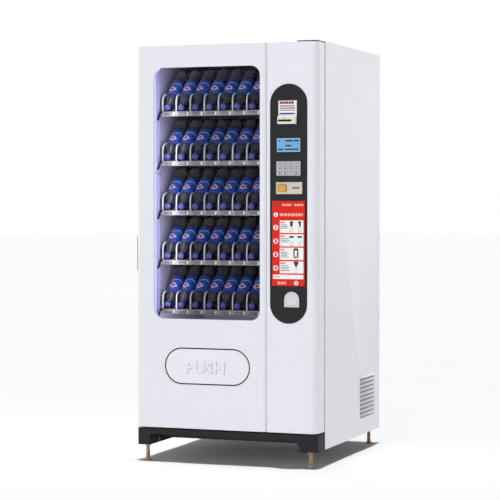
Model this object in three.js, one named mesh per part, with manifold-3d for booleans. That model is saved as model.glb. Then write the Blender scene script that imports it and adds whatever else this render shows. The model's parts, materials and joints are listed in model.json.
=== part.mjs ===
// A refrigerated snack and drink vending machine, in millimetres.
// Design frame: x to the right seen from the front, y from the front face into the machine,
// z up from the floor. The finished group is shifted so that x = y = 0 is the middle of its
// footprint.
import * as THREE from "three";
import { mergeVertices } from "three/addons/utils/BufferGeometryUtils.js";
import Module from "manifold-3d";

const wasm = await Module();
wasm.setup();

// ---- driving dimensions -------------------------------------------------------------------
const HALF_WIDTH = 445.5;
const DEPTH = 1008;
const TOP = 1948;
const SKIRT_BOTTOM = 77;
const SHEET = 2;
const GAP = 0.4; // between pieces that touch

const DOOR = { bottom: 161, top: 1940, depth: 103, leftRadius: 20, rightRadius: 35 };
const CABINET_FRONT = 117;
const SEAM_X = 201.5; // between the glass door skin and the payment panel
const SEAM_HALF = 0.75;
const SEAM_RADIUS = 20;

const WINDOW = { x0: -357.4, x1: 168.4, z0: 670.9, z1: 1837.6, r: 45 };
const PANE = { front: 5, back: 11, overlap: 20, radius: 12 };
const FRAME = { front: 11.4, back: 30, overlap: 23, step: 3.6 };
const FLAP = { x0: -299, x1: 117.4, z0: 370, z1: 534.5, thick: 4, pinY: 12 };
const FASCIA = { x0: 219.1, x1: 396.3, z0: 660.7, z1: 1750, front: -2, back: 1.6 };

const BILL = { x0: 259.9, x1: 348.1, z0: 1568, z1: 1674.2, mouthTop: 1604, mouthFront: -20 };
const BILL_SLOT = { x0: 262.8, x1: 328, z0: 1579, z1: 1588 };
const SCREEN = { x0: 252.6, x1: 363.4, z0: 1442, z1: 1503.4 };
const KEYPAD = { x0: 250.2, x1: 365.3, z0: 1333.4, z1: 1399.4, front: -4.5, back: 8 };
const KEY = { width: 20, height: 15, front: -7, back: 1, pitchX: 26.4, pitchZ: 21.6 };
const KEY_FIRST = { x: 266.7, z: 1388 };
const COIN_PLATE = { x0: 248.6, x1: 374, z0: 1250.4, z1: 1304.6, front: -5, back: 14 };
const COIN_BUTTON = { x0: 256, x1: 298, z0: 1261, z1: 1292, front: -13, back: 4 };
const COIN_SLOT = { x0: 326, x1: 362, z0: 1276, z1: 1280 };
const STICKER = { x0: 229.4, x1: 385.6, z0: 832.7, z1: 1219.4, front: -3.8 };
const CUP = { x0: 289.2, x1: 359.8, z0: 736.5, z1: 806.6, rim: 8, wall: 2, front: -6.5, depth: 62 };
const CUP_FLAP = { thick: 2.5, play: 0.9 };

const LINER = { left: -438, right: 233, wall: 28, front: 119.5, back: 880, top: 1936 };
const LINER_FLOOR = { front: 317, rear: 375, stepStart: 560, stepEnd: 620 };
const TRAY = { count: 5, firstRail: 694.5, pitch: 234, x0: -383, columns: 8, columnPitch: 71.25 };
const TRAY_SHAPE = { front: 160, back: 700, sheet: 1.5, wing: 18, aboveRail: 9 };
const DIVIDER = { front: 163, back: 696, height: 88, straight: 52, sweep: 48 };
const RAIL = { front: 152, back: 159.6, half: 11 };
const LEDGE = { front: 190, back: 700, thick: 4, width: 9 };

const BASE = { bottom: 100, rim: 40 };
const PLINTH = { top: 154, barBottom: 127, wall: 3, back: 116.4, leftRadius: 20, rightRadius: 25 };
const PLINTH_LEFT_BLOCK = 67;
const PLINTH_RIGHT_BLOCK = { top: 97, bottom: 84 };
const FOOT = { stem: 7.5, pad: 20, hole: 8.3, top: 136, boss: 50 };
const FEET = {
  foot_front_left: [-400, 27],
  foot_front_right: [406, 27],
  foot_rear_left: [-400, 973],
  foot_rear_right: [400, 973],
};

const HINGE = { x: 425.5, y: 85, pin: 6, hole: 7, plate: 4.5 };
const LATCH = { y: 40, z: 973.5, length: 163, width: 34, x0: -452.5, spindle: 7, hole: 8 };
const BIN = { x0: -318, x1: 136, y0: 6, y1: 232, z0: 352, z1: 640, doorFrom: 366, doorTo: 548 };
const LOUVRE = { count: 10, y0: 669, y1: 906, z0: 164, pitch: 20.6, slot: 7, hood: 3 };
const FAN = { y: 787, z: 257, hub: 22, blade: 88, hole: 94, x0: 350, x1: 372, blades: 5 };
const INLET = { x: 330, z: 190, width: 30, height: 24, wall: 3, reach: 24, socket: 16, ear: 8 };
const BACK_VENT = { x0: -260, x1: 160, z0: 150, rows: 8, pitch: 24, height: 9 };

const DUCT = { front: 762, sheet: 2, bottom: 440, slotInset: 60, slotAbove: 120, slotHeight: 14 };
const EVAPORATOR = { x0: -360, x1: 150, y0: 776, y1: 844, z0: 425, z1: 640, fins: 10, pitch: 48, gap: 24 };
const COMPRESSOR = { x: -230, y: 720, shell: 84, plateX: 100, plateY: 80, plateThick: 13 };
const CONDENSER = { x0: 386, x1: 428, y0: 664, y1: 910, top: 366, fins: 9, pitch: 26, gap: 14 };
const SHROUD = { x0: 342, y0: 672, y1: 902, top: 362, bar: 9, motor: 30, motorLength: 40 };
const DOOR_HOLE = { x0: -402, x1: 190, z0: 668, z1: 1870 };
const COIN_MECH = { x0: 262, x1: 386, y0: 22, y1: 98, z0: 850, z1: 1245 };

// ---- colours --------------------------------------------------------------------------------
const LOOK = {
  whitePaint: { color: 0xf0f1f5, roughness: 0.35, metalness: 0.0 },
  blackPaint: { color: 0x26282a, roughness: 0.5, metalness: 0.0 },
  charcoal: { color: 0x323434, roughness: 0.4, metalness: 0.0 },
  liner: { color: 0xd9d6e6, roughness: 0.5, metalness: 0.0 },
  steel: { color: 0xb9bbc0, roughness: 0.35, metalness: 0.9 },
  zinc: { color: 0xa98a55, roughness: 0.4, metalness: 0.9 },
  rubber: { color: 0x8d8f92, roughness: 0.8, metalness: 0.0 },
  glass: { color: 0xdfe8ee, roughness: 0.05, metalness: 0.0 },
  cream: { color: 0xe4dfcf, roughness: 0.45, metalness: 0.0 },
  orange: { color: 0xf0a030, roughness: 0.4, metalness: 0.0 },
  red: { color: 0xe23a30, roughness: 0.45, metalness: 0.0 },
  screen: { color: 0x6fb4e6, roughness: 0.2, metalness: 0.0 },
  lightGrey: { color: 0xd6d7d9, roughness: 0.45, metalness: 0.0 },
  grey: { color: 0x8b8e92, roughness: 0.5, metalness: 0.2 },
};

const machine = new THREE.Group();
machine.name = "vending_machine";

// ---- solids -----------------------------------------------------------------------------------
// A closed three.js geometry as a manifold solid.
function solid(geometry) {
  const bare = geometry.clone();
  bare.deleteAttribute("normal");
  bare.deleteAttribute("uv");
  const merged = mergeVertices(bare, 1e-4);
  return new wasm.Manifold(
    new wasm.Mesh({
      numProp: 3,
      vertProperties: new Float32Array(merged.attributes.position.array),
      triVerts: new Uint32Array(merged.index.array),
    }),
  );
}

function join(...parts) {
  return parts.slice(1).reduce((sum, part) => sum.add(part), parts[0]);
}

function cut(body, ...tools) {
  return tools.reduce((rest, tool) => rest.subtract(tool), body);
}

function toGeometry(manifold) {
  const mesh = manifold.getMesh();
  const points = new Float32Array((mesh.vertProperties.length / mesh.numProp) * 3);
  for (let i = 0; i < points.length / 3; i += 1) {
    for (let k = 0; k < 3; k += 1) {
      points[3 * i + k] = mesh.vertProperties[mesh.numProp * i + k];
    }
  }
  const geometry = new THREE.BufferGeometry();
  geometry.setAttribute("position", new THREE.BufferAttribute(points, 3));
  geometry.setIndex(new THREE.BufferAttribute(new Uint32Array(mesh.triVerts), 1));
  geometry.computeVertexNormals();
  return geometry;
}

function addPart(name, body, look) {
  const material = new THREE.MeshStandardMaterial(LOOK[look]);
  const mesh = new THREE.Mesh(toGeometry(body), material);
  mesh.name = name;
  machine.add(mesh);
  return mesh;
}

function box(x0, x1, y0, y1, z0, z1) {
  const geometry = new THREE.BoxGeometry(x1 - x0, y1 - y0, z1 - z0);
  geometry.translate((x0 + x1) / 2, (y0 + y1) / 2, (z0 + z1) / 2);
  return solid(geometry);
}

// A rectangle with round corners; r may be half its width, for a stadium.
function roundedRect(x0, x1, z0, z1, r) {
  const shape = new THREE.Shape();
  shape.moveTo(x0 + r, z0);
  shape.lineTo(x1 - r, z0);
  shape.absarc(x1 - r, z0 + r, r, -Math.PI / 2, 0);
  shape.lineTo(x1, z1 - r);
  shape.absarc(x1 - r, z1 - r, r, 0, Math.PI / 2);
  shape.lineTo(x0 + r, z1);
  shape.absarc(x0 + r, z1 - r, r, Math.PI / 2, Math.PI);
  shape.lineTo(x0, z0 + r);
  shape.absarc(x0 + r, z0 + r, r, Math.PI, Math.PI * 1.5);
  return shape;
}

// An arch: a flat bottom and a half-round top.
function arch(x0, x1, z0, z1) {
  const r = (x1 - x0) / 2;
  const shape = new THREE.Shape();
  shape.moveTo(x0, z0);
  shape.lineTo(x1, z0);
  shape.lineTo(x1, z1 - r);
  shape.absarc(x0 + r, z1 - r, r, 0, Math.PI);
  return shape;
}

function extrude(shape, depth, segments) {
  const settings = { depth, bevelEnabled: false, curveSegments: segments };
  return new THREE.ExtrudeGeometry(shape, settings);
}

// A shape drawn in x and y, standing from z0 to z1.
function extrudeZ(shape, z0, z1, segments = 4) {
  return solid(extrude(shape, z1 - z0, segments).translate(0, 0, z0));
}

// A shape drawn in x and z, reaching from y0 to y1.
function extrudeY(shape, y0, y1, segments = 4) {
  const geometry = extrude(shape, y1 - y0, segments);
  return solid(geometry.rotateX(Math.PI / 2).translate(0, y1, 0));
}

// A shape drawn in y and z, reaching from x0 to x1.
function extrudeX(shape, x0, x1, segments = 4) {
  const toYZ = new THREE.Matrix4().makeBasis(
    new THREE.Vector3(0, 1, 0),
    new THREE.Vector3(0, 0, 1),
    new THREE.Vector3(1, 0, 0),
  );
  return solid(extrude(shape, x1 - x0, segments).applyMatrix4(toYZ).translate(x0, 0, 0));
}

function polygon(points) {
  return new THREE.Shape(points.map(([a, b]) => new THREE.Vector2(a, b)));
}

// A cylinder from the point along an axis, "x", "y" or "z".
function rod(axis, r, length, x, y, z, sides = 24) {
  const geometry = new THREE.CylinderGeometry(r, r, length, sides).translate(0, length / 2, 0);
  if (axis === "x") geometry.rotateZ(-Math.PI / 2);
  if (axis === "z") geometry.rotateX(Math.PI / 2);
  return solid(geometry.translate(x, y, z));
}

// A body of revolution about a vertical axis; the profile is [r, z] pairs from axis to axis.
function turned(profile, x, y, sides = 24) {
  const points = profile.map(([r, z]) => new THREE.Vector2(r, z));
  const geometry = new THREE.LatheGeometry(points, sides);
  return solid(geometry.rotateX(Math.PI / 2).translate(x, y, 0));
}

// The plan of a tray-shaped skin: flat front at y = inset, rounded front corners.
function skinPlan(x0, x1, back, r0, r1, inset) {
  const left = x0 + inset;
  const right = x1 - inset;
  const ra = r0 - inset;
  const rb = r1 - inset;
  const shape = new THREE.Shape();
  shape.moveTo(left, back);
  shape.lineTo(left, inset + ra);
  shape.absarc(left + ra, inset + ra, ra, Math.PI, Math.PI * 1.5);
  shape.lineTo(right - rb, inset);
  shape.absarc(right - rb, inset + rb, rb, -Math.PI / 2, 0);
  shape.lineTo(right, back);
  return shape;
}

// A folded sheet skin, open at the back.
function foldedSkin(x0, x1, r0, r1) {
  const outer = extrudeZ(skinPlan(x0, x1, DOOR.depth, r0, r1, 0), DOOR.bottom, DOOR.top, 5);
  const hollow = extrudeZ(
    skinPlan(x0, x1, DOOR.depth + 5, r0, r1, SHEET),
    DOOR.bottom + SHEET,
    DOOR.top - SHEET,
    5,
  );
  return cut(outer, hollow);
}

const grow = ({ x0, x1, z0, z1 }, by) => [x0 - by, x1 + by, z0 - by, z1 + by];

// ---- cabinet shell ------------------------------------------------------------------------------
function louvreZ(index) {
  return LOUVRE.z0 + LOUVRE.pitch * index;
}

// One side panel; side is -1 for the left one and +1 for the right one.
function sidePanel(name, side) {
  const across = (a, b) => (side > 0 ? [a, b] : [-b, -a]);
  const flange = 13.5;
  const inner = HALF_WIDTH - SHEET;
  const edge = TOP - SHEET - GAP;
  let body = box(...across(inner, HALF_WIDTH), CABINET_FRONT, DEPTH - SHEET, SKIRT_BOTTOM, TOP);
  const front = box(
    ...across(inner - flange, inner + 1),
    CABINET_FRONT,
    CABINET_FRONT + SHEET,
    SKIRT_BOTTOM,
    edge,
  );
  const rear = box(
    ...across(inner - flange, inner + 1),
    DEPTH - 2 * SHEET,
    DEPTH - SHEET,
    BASE.bottom + BASE.rim + 10,
    edge,
  );
  body = join(body, front, rear);
  for (let i = 0; i < LOUVRE.count; i += 1) {
    const z = louvreZ(i);
    const out = side * HALF_WIDTH;
    const hood = [
      [0, z + LOUVRE.slot + 7],
      [0, z + 1],
      [LOUVRE.hood, z + 1],
      [LOUVRE.hood, z + 3],
    ];
    const section = polygon(hood.map(([proud, height]) => [out + side * (proud - 0.5), height]));
    const cap = extrudeY(section, LOUVRE.y0 - 3, LOUVRE.y1 + 3);
    const slot = box(
      ...across(inner - 5, HALF_WIDTH + LOUVRE.hood - 1.4),
      LOUVRE.y0,
      LOUVRE.y1,
      z,
      z + LOUVRE.slot,
    );
    body = cut(join(body, cap), slot);
  }
  if (side > 0) {
    const notch = [inner - flange - 1, inner, CABINET_FRONT - 1, CABINET_FRONT + SHEET + 1];
    body = cut(
      body,
      box(...notch, DOOR.top - 1, TOP - SHEET),
      box(...notch, PLINTH.top - 1, DOOR.bottom + 1),
    );
  }
  addPart(name, body, "whitePaint");
}

function topPanel() {
  const inner = HALF_WIDTH - SHEET - GAP;
  const lip = inner - 16;
  const sheet = box(-inner, inner, CABINET_FRONT, DEPTH, TOP - SHEET, TOP);
  const fold = box(-lip, lip, CABINET_FRONT, CABINET_FRONT + SHEET, TOP - 10, TOP - 1);
  const hingeNotch = box(340, inner + 1, CABINET_FRONT - 1, 125, TOP - 12, TOP - SHEET);
  addPart("top_panel", cut(join(sheet, fold), hingeNotch), "whitePaint");
}

function backPanel() {
  const inner = HALF_WIDTH - SHEET - GAP;
  let body = box(-inner, inner, DEPTH - SHEET + GAP, DEPTH, BASE.bottom + 4, TOP - SHEET - GAP);
  for (let row = 0; row < BACK_VENT.rows; row += 1) {
    const z = BACK_VENT.z0 + BACK_VENT.pitch * row;
    const slot = box(BACK_VENT.x0, BACK_VENT.x1, DEPTH - 5, DEPTH + 5, z, z + BACK_VENT.height);
    body = cut(body, slot);
  }
  const w = INLET.width / 2 + 1;
  const h = INLET.height / 2 + 1;
  const hole = box(INLET.x - w, INLET.x + w, DEPTH - 5, DEPTH + 5, INLET.z - h, INLET.z + h);
  addPart("back_panel", cut(body, hole), "steel");
}

function basePan() {
  const inner = HALF_WIDTH - SHEET - GAP;
  const y0 = CABINET_FRONT + SHEET + 1;
  const y1 = DEPTH - 2 * SHEET - GAP;
  const top = BASE.bottom + BASE.rim;
  const outer = box(-inner, inner, y0, y1, BASE.bottom, top);
  const hollow = box(-inner + SHEET, inner - SHEET, y0 + SHEET, y1 - SHEET, BASE.bottom + SHEET, top + 5);
  let body = cut(outer, hollow);
  for (const [name, [x, y]] of Object.entries(FEET)) {
    if (!name.includes("rear")) continue;
    const half = FOOT.boss / 2;
    const nut = box(x - half, x + half, y - half, y + half, SKIRT_BOTTOM + 3, BASE.bottom + 1);
    body = join(body, nut);
    body = cut(body, rod("z", FOOT.hole, 60, x, y, SKIRT_BOTTOM - 5, 16));
  }
  addPart("base_pan", body, "blackPaint");
}

// The moulded plinth under the door: a bar with a block at each end for the front feet.
function plinth() {
  const plan = skinPlan(
    -HALF_WIDTH,
    HALF_WIDTH,
    PLINTH.back,
    PLINTH.leftRadius,
    PLINTH.rightRadius,
    0,
  );
  const body = extrudeZ(plan, SKIRT_BOTTOM, PLINTH.top, 3);
  const left = -HALF_WIDTH + PLINTH_LEFT_BLOCK;
  const opening = polygon([
    [left, SKIRT_BOTTOM - 1],
    [HALF_WIDTH - PLINTH_RIGHT_BLOCK.bottom, SKIRT_BOTTOM - 1],
    [HALF_WIDTH - PLINTH_RIGHT_BLOCK.top, PLINTH.barBottom],
    [left, PLINTH.barBottom],
  ]);
  const channel = box(
    left + PLINTH.wall,
    HALF_WIDTH - PLINTH_RIGHT_BLOCK.top - PLINTH.wall,
    PLINTH.wall,
    PLINTH.back - PLINTH.wall,
    PLINTH.barBottom - 5,
    PLINTH.top - PLINTH.wall,
  );
  let result = cut(body, extrudeY(opening, -1, PLINTH.back + 1), channel);
  for (const name of ["foot_front_left", "foot_front_right"]) {
    const [x, y] = FEET[name];
    result = cut(result, rod("z", FOOT.hole, 65, x, y, SKIRT_BOTTOM - 2, 16));
  }
  addPart("plinth", result, "charcoal");
}

function feet() {
  const profile = [
    [0, 0],
    [FOOT.pad - 1, 0],
    [FOOT.pad, 1],
    [FOOT.pad, 4],
    [11, 9],
    [FOOT.stem, 12],
    [FOOT.stem, FOOT.top],
    [0, FOOT.top],
  ];
  for (const [name, [x, y]] of Object.entries(FEET)) {
    addPart(name, turned(profile, x, y, 16), "zinc");
  }
}

function hingePlates() {
  const x1 = HALF_WIDTH - SHEET - GAP - 0.4;
  const z = DOOR.top + 1;
  const thick = HINGE.plate;
  const plan = skinPlan(345, x1, 260, 2, 22, 0);
  const upper = join(
    extrudeZ(plan, z, z + thick, 3).translate([0, 6, 0]),
    rod("z", HINGE.pin, 16, HINGE.x, HINGE.y, z - 15.5, 16),
  );
  addPart("hinge_plate_top", upper, "blackPaint");
  const low = PLINTH.top + 0.8;
  const lower = join(
    box(392, x1, 62, 240, low, low + thick),
    rod("z", HINGE.pin, 18, HINGE.x, HINGE.y, low + thick - 1, 16),
  );
  addPart("hinge_plate_bottom", lower, "blackPaint");
}

// ---- cold space -----------------------------------------------------------------------------------
const trayFloor = (index) => TRAY.firstRail + TRAY.pitch * index + TRAY_SHAPE.aboveRail;
const trayRight = TRAY.x0 + TRAY.columns * TRAY.columnPitch;

// The side section of the liner, in y and z, drawn inside its outer face by inset.
function linerSection(inset, front) {
  return polygon([
    [front, LINER_FLOOR.front + inset],
    [LINER_FLOOR.stepStart - inset * 0.5, LINER_FLOOR.front + inset],
    [LINER_FLOOR.stepEnd - inset * 0.5, LINER_FLOOR.rear + inset],
    [LINER.back - inset, LINER_FLOOR.rear + inset],
    [LINER.back - inset, LINER.top - inset],
    [front, LINER.top - inset],
  ]);
}

function innerLiner() {
  const outer = extrudeX(linerSection(0, LINER.front), LINER.left, LINER.right);
  const x0 = LINER.left + LINER.wall;
  const x1 = LINER.right - LINER.wall;
  let body = cut(outer, extrudeX(linerSection(LINER.wall, LINER.front - 5), x0, x1));
  for (let i = 0; i < TRAY.count; i += 1) {
    const top = trayFloor(i) - TRAY_SHAPE.sheet - 0.6;
    for (const [a, b] of [[x0 - 1, x0 + LEDGE.width], [x1 - LEDGE.width, x1 + 1]]) {
      body = join(body, box(a, b, LEDGE.front, LEDGE.back, top - LEDGE.thick, top));
    }
  }
  addPart("inner_liner", body, "liner");
}

// The side view of a divider: upright front edge, then swept back to its top.
function dividerSection(z) {
  const { front, back, height, straight, sweep } = DIVIDER;
  const shape = new THREE.Shape();
  shape.moveTo(front, z - 1);
  shape.lineTo(front, z + straight);
  shape.quadraticCurveTo(front + 4, z + height, front + sweep, z + height);
  shape.lineTo(back, z + height);
  shape.lineTo(back, z - 1);
  return shape;
}

function tray(index) {
  const z = trayFloor(index);
  const { front, back, sheet, wing } = TRAY_SHAPE;
  const floor = box(TRAY.x0, trayRight, front, back, z - sheet, z);
  const wings = box(TRAY.x0 - wing, trayRight + wing * 0.75, LEDGE.front + 2, back - 2, z - sheet, z);
  const rear = box(TRAY.x0, trayRight, back - sheet, back, z - 1, z + 40);
  let body = join(floor, wings, rear);
  for (let i = 0; i <= TRAY.columns; i += 1) {
    const inset = i === 0 ? 1 : i === TRAY.columns ? -1 : 0;
    const x = TRAY.x0 + TRAY.columnPitch * i + inset;
    const plate = extrudeX(dividerSection(z), x - 1, x + 1, 4);
    body = join(body, plate);
  }
  addPart(`tray_${index + 1}`, body, "whitePaint");
}

function priceRail(index) {
  const z = TRAY.firstRail + TRAY.pitch * index;
  const { front, back, half } = RAIL;
  const bar = box(TRAY.x0, trayRight, front, back, z - half, z + half);
  const groove = box(TRAY.x0 - 1, trayRight + 1, front - 1, front + 1.5, z - half + 3, z + half - 3);
  addPart(`price_rail_${index + 1}`, cut(bar, groove), "lightGrey");
}

function airDuct() {
  const x0 = LINER.left + LINER.wall + GAP;
  const x1 = LINER.right - LINER.wall - GAP;
  const { front, sheet, bottom, slotInset, slotAbove, slotHeight } = DUCT;
  let body = box(x0, x1, front, front + sheet, bottom, LINER.top - LINER.wall - 30);
  for (let row = 0; row < TRAY.count; row += 1) {
    const z = trayFloor(row) + slotAbove;
    const slot = box(x0 + slotInset, x1 - slotInset, front - 5, front + 5, z, z + slotHeight);
    body = cut(body, slot);
  }
  addPart("air_duct", body, "liner");
}

function evaporator() {
  const { x0, x1, y0, y1, z0, z1, fins, pitch, gap } = EVAPORATOR;
  let body = box(x0, x1, y0, y1, z0, z1);
  for (let i = 0; i < fins; i += 1) {
    const x = x0 + 15 + pitch * i;
    body = cut(body, box(x, x + gap, y0 - 5, y0 + 14, z0 + 7, z1 - 7));
  }
  addPart("evaporator", body, "steel");
}

// ---- refrigeration unit under the liner ---------------------------------------------------------------
function compressor() {
  const floor = BASE.bottom + SHEET + GAP;
  const { x, y, shell, plateX, plateY, plateThick } = COMPRESSOR;
  const dome = turned(
    [
      [0, floor + plateThick - 1],
      [shell - 14, floor + plateThick - 1],
      [shell, floor + 40],
      [shell, floor + 130],
      [shell - 18, floor + 165],
      [shell - 54, floor + 180],
      [0, floor + 182],
    ],
    x,
    y,
    20,
  );
  const plate = box(x - plateX, x + plateX, y - plateY, y + plateY, floor, floor + plateThick);
  addPart("compressor", join(dome, plate), "blackPaint");
}

function condenser() {
  const floor = BASE.bottom + SHEET + GAP;
  const { x0, x1, y0, y1, top, fins, pitch, gap } = CONDENSER;
  let core = box(x0, x1, y0, y1, floor, top);
  for (let i = 0; i < fins; i += 1) {
    const y = y0 + 10 + pitch * i;
    core = cut(core, box(x1 - 13, x1 + 2, y, y + gap, floor + 20, top - 10));
  }
  const { x0: front, y0: near, y1: far, top: crown, bar: half, motor: motorR, motorLength } = SHROUD;
  const shroud = cut(
    box(front, x0 + 1, near, far, floor, crown),
    rod("x", FAN.hole, x0 - front, front - 2, FAN.y, FAN.z, 24),
  );
  const bar = box(front - 8, front + 1, near, far, FAN.z - half, FAN.z + half);
  const motor = rod("x", motorR, motorLength, front + 1 - motorLength, FAN.y, FAN.z, 16);
  addPart("condenser", join(core, shroud, bar, motor), "steel");
}

function condenserFan() {
  let body = rod("x", FAN.hub, FAN.x1 - FAN.x0, FAN.x0, FAN.y, FAN.z, 16);
  for (let i = 0; i < FAN.blades; i += 1) {
    const blade = new THREE.BoxGeometry(2.5, 44, FAN.blade - FAN.hub + 4);
    blade.rotateZ(0.35);
    blade.translate(0, 0, (FAN.blade + FAN.hub - 6) / 2);
    blade.rotateX((i * 2 * Math.PI) / FAN.blades);
    blade.translate((FAN.x0 + FAN.x1) / 2, FAN.y, FAN.z);
    body = join(body, solid(blade));
  }
  addPart("condenser_fan", body, "blackPaint");
}

function powerInlet() {
  const { x, z, width, height, wall, reach, socket, ear } = INLET;
  const w = width / 2;
  const h = height / 2;
  const inside = DEPTH - SHEET; // the ears sit behind the back panel
  const body = join(
    box(x - w, x + w, DEPTH - reach, DEPTH - 0.2, z - h, z + h),
    box(x - w - ear, x + w + ear, inside - 4, inside, z - h - 5, z + h + 5),
  );
  const inner = [x - w + wall, x + w - wall, DEPTH - socket, DEPTH + 5];
  const recess = box(...inner, z - h + wall, z + h - wall);
  addPart("power_inlet", cut(body, recess), "blackPaint");
}

// ---- door ------------------------------------------------------------------------------------------
function doorSkin() {
  const skin = foldedSkin(-HALF_WIDTH, SEAM_X - SEAM_HALF, DOOR.leftRadius, SEAM_RADIUS);
  const { x0, x1, z0, z1, r } = WINDOW;
  const flapHole = grow(FLAP, 3);
  const flapRadius = (flapHole[3] - flapHole[2]) / 2;
  const body = cut(
    skin,
    extrudeY(roundedRect(x0, x1, z0, z1, r), -5, 10, 6),
    extrudeY(roundedRect(...flapHole, flapRadius), -5, 10, 10),
    rod("x", LATCH.hole, 20, -HALF_WIDTH - 5, LATCH.y, LATCH.z, 16),
  );
  addPart("door_skin", body, "whitePaint");
}

function paymentPanel() {
  const skin = foldedSkin(SEAM_X + SEAM_HALF, HALF_WIDTH, 4, DOOR.rightRadius);
  const hole = grow(FASCIA, 0.6);
  const pin = (z) => rod("z", HINGE.hole, 20, HINGE.x, HINGE.y, z, 16);
  const body = cut(
    skin,
    extrudeY(roundedRect(...hole, (hole[1] - hole[0]) / 2), -5, 10, 10),
    pin(DOOR.top - 10),
    pin(DOOR.bottom - 10),
  );
  addPart("payment_panel", body, "whitePaint");
}

// The pressed panel that closes the back of the door, with a collar round the glass.
function doorLiner() {
  const y0 = DOOR.depth + GAP;
  const y1 = y0 + SHEET;
  const [x0, x1, z0, z1] = grow(DOOR_HOLE, 0);
  const [cx0, cx1, cz0, cz1] = grow(DOOR_HOLE, SHEET);
  const edge = HALF_WIDTH - 4.5;
  const plate = box(-edge, edge, y0, y1, DOOR.bottom + 4, DOOR.top - 4);
  const tube = box(cx0, cx1, FRAME.back + 1, y1, cz0, cz1);
  const body = cut(
    join(plate, tube),
    box(x0, x1, 20, y1 + 5, z0, z1),
    box(BIN.x0 - 1, BIN.x1 + 1, 20, y1 + 5, BIN.z0 - 1, BIN.z1 + 1),
  );
  addPart("door_liner", body, "liner");
}

function doorGasket() {
  const y0 = DOOR.depth + GAP + SHEET + GAP;
  const y1 = LINER.front - GAP;
  const outer = box(LINER.left + 12, LINER.right - 5, y0, y1, LINER_FLOOR.front + 5, LINER.top - 3);
  const inner = box(LINER.left + 30, LINER.right - 23, y0 - 5, y1 + 5, 340, LINER.top - 21);
  addPart("door_gasket", cut(outer, inner), "rubber");
}

function windowGlass() {
  const outline = roundedRect(...grow(WINDOW, PANE.overlap), PANE.radius);
  addPart("window_glass", extrudeY(outline, PANE.front, PANE.back, 2), "glass");
}

function windowFrame() {
  const { front, back, overlap, step } = FRAME;
  const outline = roundedRect(...grow(WINDOW, overlap), PANE.radius);
  const opening = roundedRect(...grow(WINDOW, step), WINDOW.r + step);
  const body = cut(extrudeY(outline, front, back, 2), extrudeY(opening, front - 5, back + 5, 6));
  addPart("window_frame", body, "liner");
}

// ---- payment column ----------------------------------------------------------------------------------
// The rectangle of an item, as a hole in the fascia with a small clearance.
function fasciaHole(item, shrink = 0) {
  const [x0, x1, z0, z1] = grow(item, GAP - shrink);
  return box(x0, x1, -20, 20, z0, z1);
}

function controlFascia() {
  const { x0, x1, z0, z1, front, back } = FASCIA;
  const plate = extrudeY(roundedRect(x0, x1, z0, z1, (x1 - x0) / 2), front, back, 10);
  const cup = grow(CUP, GAP - (CUP.rim - 1.2 - CUP.wall));
  const body = cut(
    plate,
    fasciaHole(BILL, 6),
    fasciaHole(SCREEN),
    fasciaHole(KEYPAD),
    fasciaHole(COIN_PLATE),
    extrudeY(arch(...cup), -20, 20, 6),
  );
  addPart("control_fascia", body, "charcoal");
}

function billAcceptor() {
  const onFascia = FASCIA.front - GAP;
  const { x0, x1, z0, z1, mouthTop, mouthFront } = BILL;
  const mouthSection = polygon([
    [onFascia, z0],
    [mouthFront + 3, z0],
    [mouthFront, z0 + 4],
    [mouthFront, mouthTop - 8],
    [mouthFront + 6, mouthTop],
    [onFascia, mouthTop],
  ]);
  const body = join(
    box(x0, x1, onFascia - 2.4, onFascia, z0, z1),
    extrudeX(mouthSection, x0, x1),
    box(x0 + 6, x1 - 6, onFascia - 1, 95, z0 + 6, z1 - 6),
    box(x0 + 3, x1 - 3, 30, 96, z0 - 80, z1 + 20),
  );
  const slot = box(BILL_SLOT.x0, BILL_SLOT.x1, mouthFront - 5, 60, BILL_SLOT.z0, BILL_SLOT.z1);
  addPart("bill_acceptor", cut(body, slot), "cream");
}

function display() {
  const { x0, x1, z0, z1 } = SCREEN;
  addPart("display", box(x0, x1, FASCIA.front - 0.6, 18, z0, z1), "screen");
}

function keyCentres() {
  const centres = [];
  for (let row = 0; row < 3; row += 1) {
    for (let column = 0; column < 4; column += 1) {
      centres.push([KEY_FIRST.x + KEY.pitchX * column, KEY_FIRST.z - KEY.pitchZ * row]);
    }
  }
  return centres;
}

function keyBlock(x, z, clearance, y0, y1) {
  const w = KEY.width / 2 + clearance;
  const h = KEY.height / 2 + clearance;
  return extrudeY(roundedRect(x - w, x + w, z - h, z + h, 3), y0, y1, 1);
}

function keypad() {
  const { x0, x1, z0, z1, front, back } = KEYPAD;
  let plate = extrudeY(roundedRect(x0, x1, z0, z1, 3), front, back, 1);
  keyCentres().forEach(([x, z], index) => {
    plate = cut(plate, keyBlock(x, z, 0.6, front - 2, back - 3));
    addPart(`key_${index + 1}`, keyBlock(x, z, 0, KEY.front, KEY.back), "steel");
  });
  addPart("keypad_plate", plate, "steel");
}

function coinPlate() {
  const { x0, x1, z0, z1, front, back } = COIN_PLATE;
  const [bx0, bx1, bz0, bz1] = grow(COIN_BUTTON, 0.7);
  const body = cut(
    extrudeY(roundedRect(x0, x1, z0, z1, 3), front, back, 1),
    box(bx0, bx1, front - 5, back - 3, bz0, bz1),
    box(COIN_SLOT.x0, COIN_SLOT.x1, front - 5, back + 5, COIN_SLOT.z0, COIN_SLOT.z1),
  );
  addPart("coin_plate", body, "cream");
  const button = COIN_BUTTON;
  const cap = roundedRect(button.x0, button.x1, button.z0, button.z1, 4);
  addPart("coin_button", extrudeY(cap, button.front, button.back, 2), "orange");
}

function instructionPanel() {
  const { x0, x1, z0, z1, front } = STICKER;
  const plate = extrudeY(roundedRect(x0, x1, z0, z1, 2), front, FASCIA.front - GAP, 1);
  addPart("instruction_panel", plate, "red");
}

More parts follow.
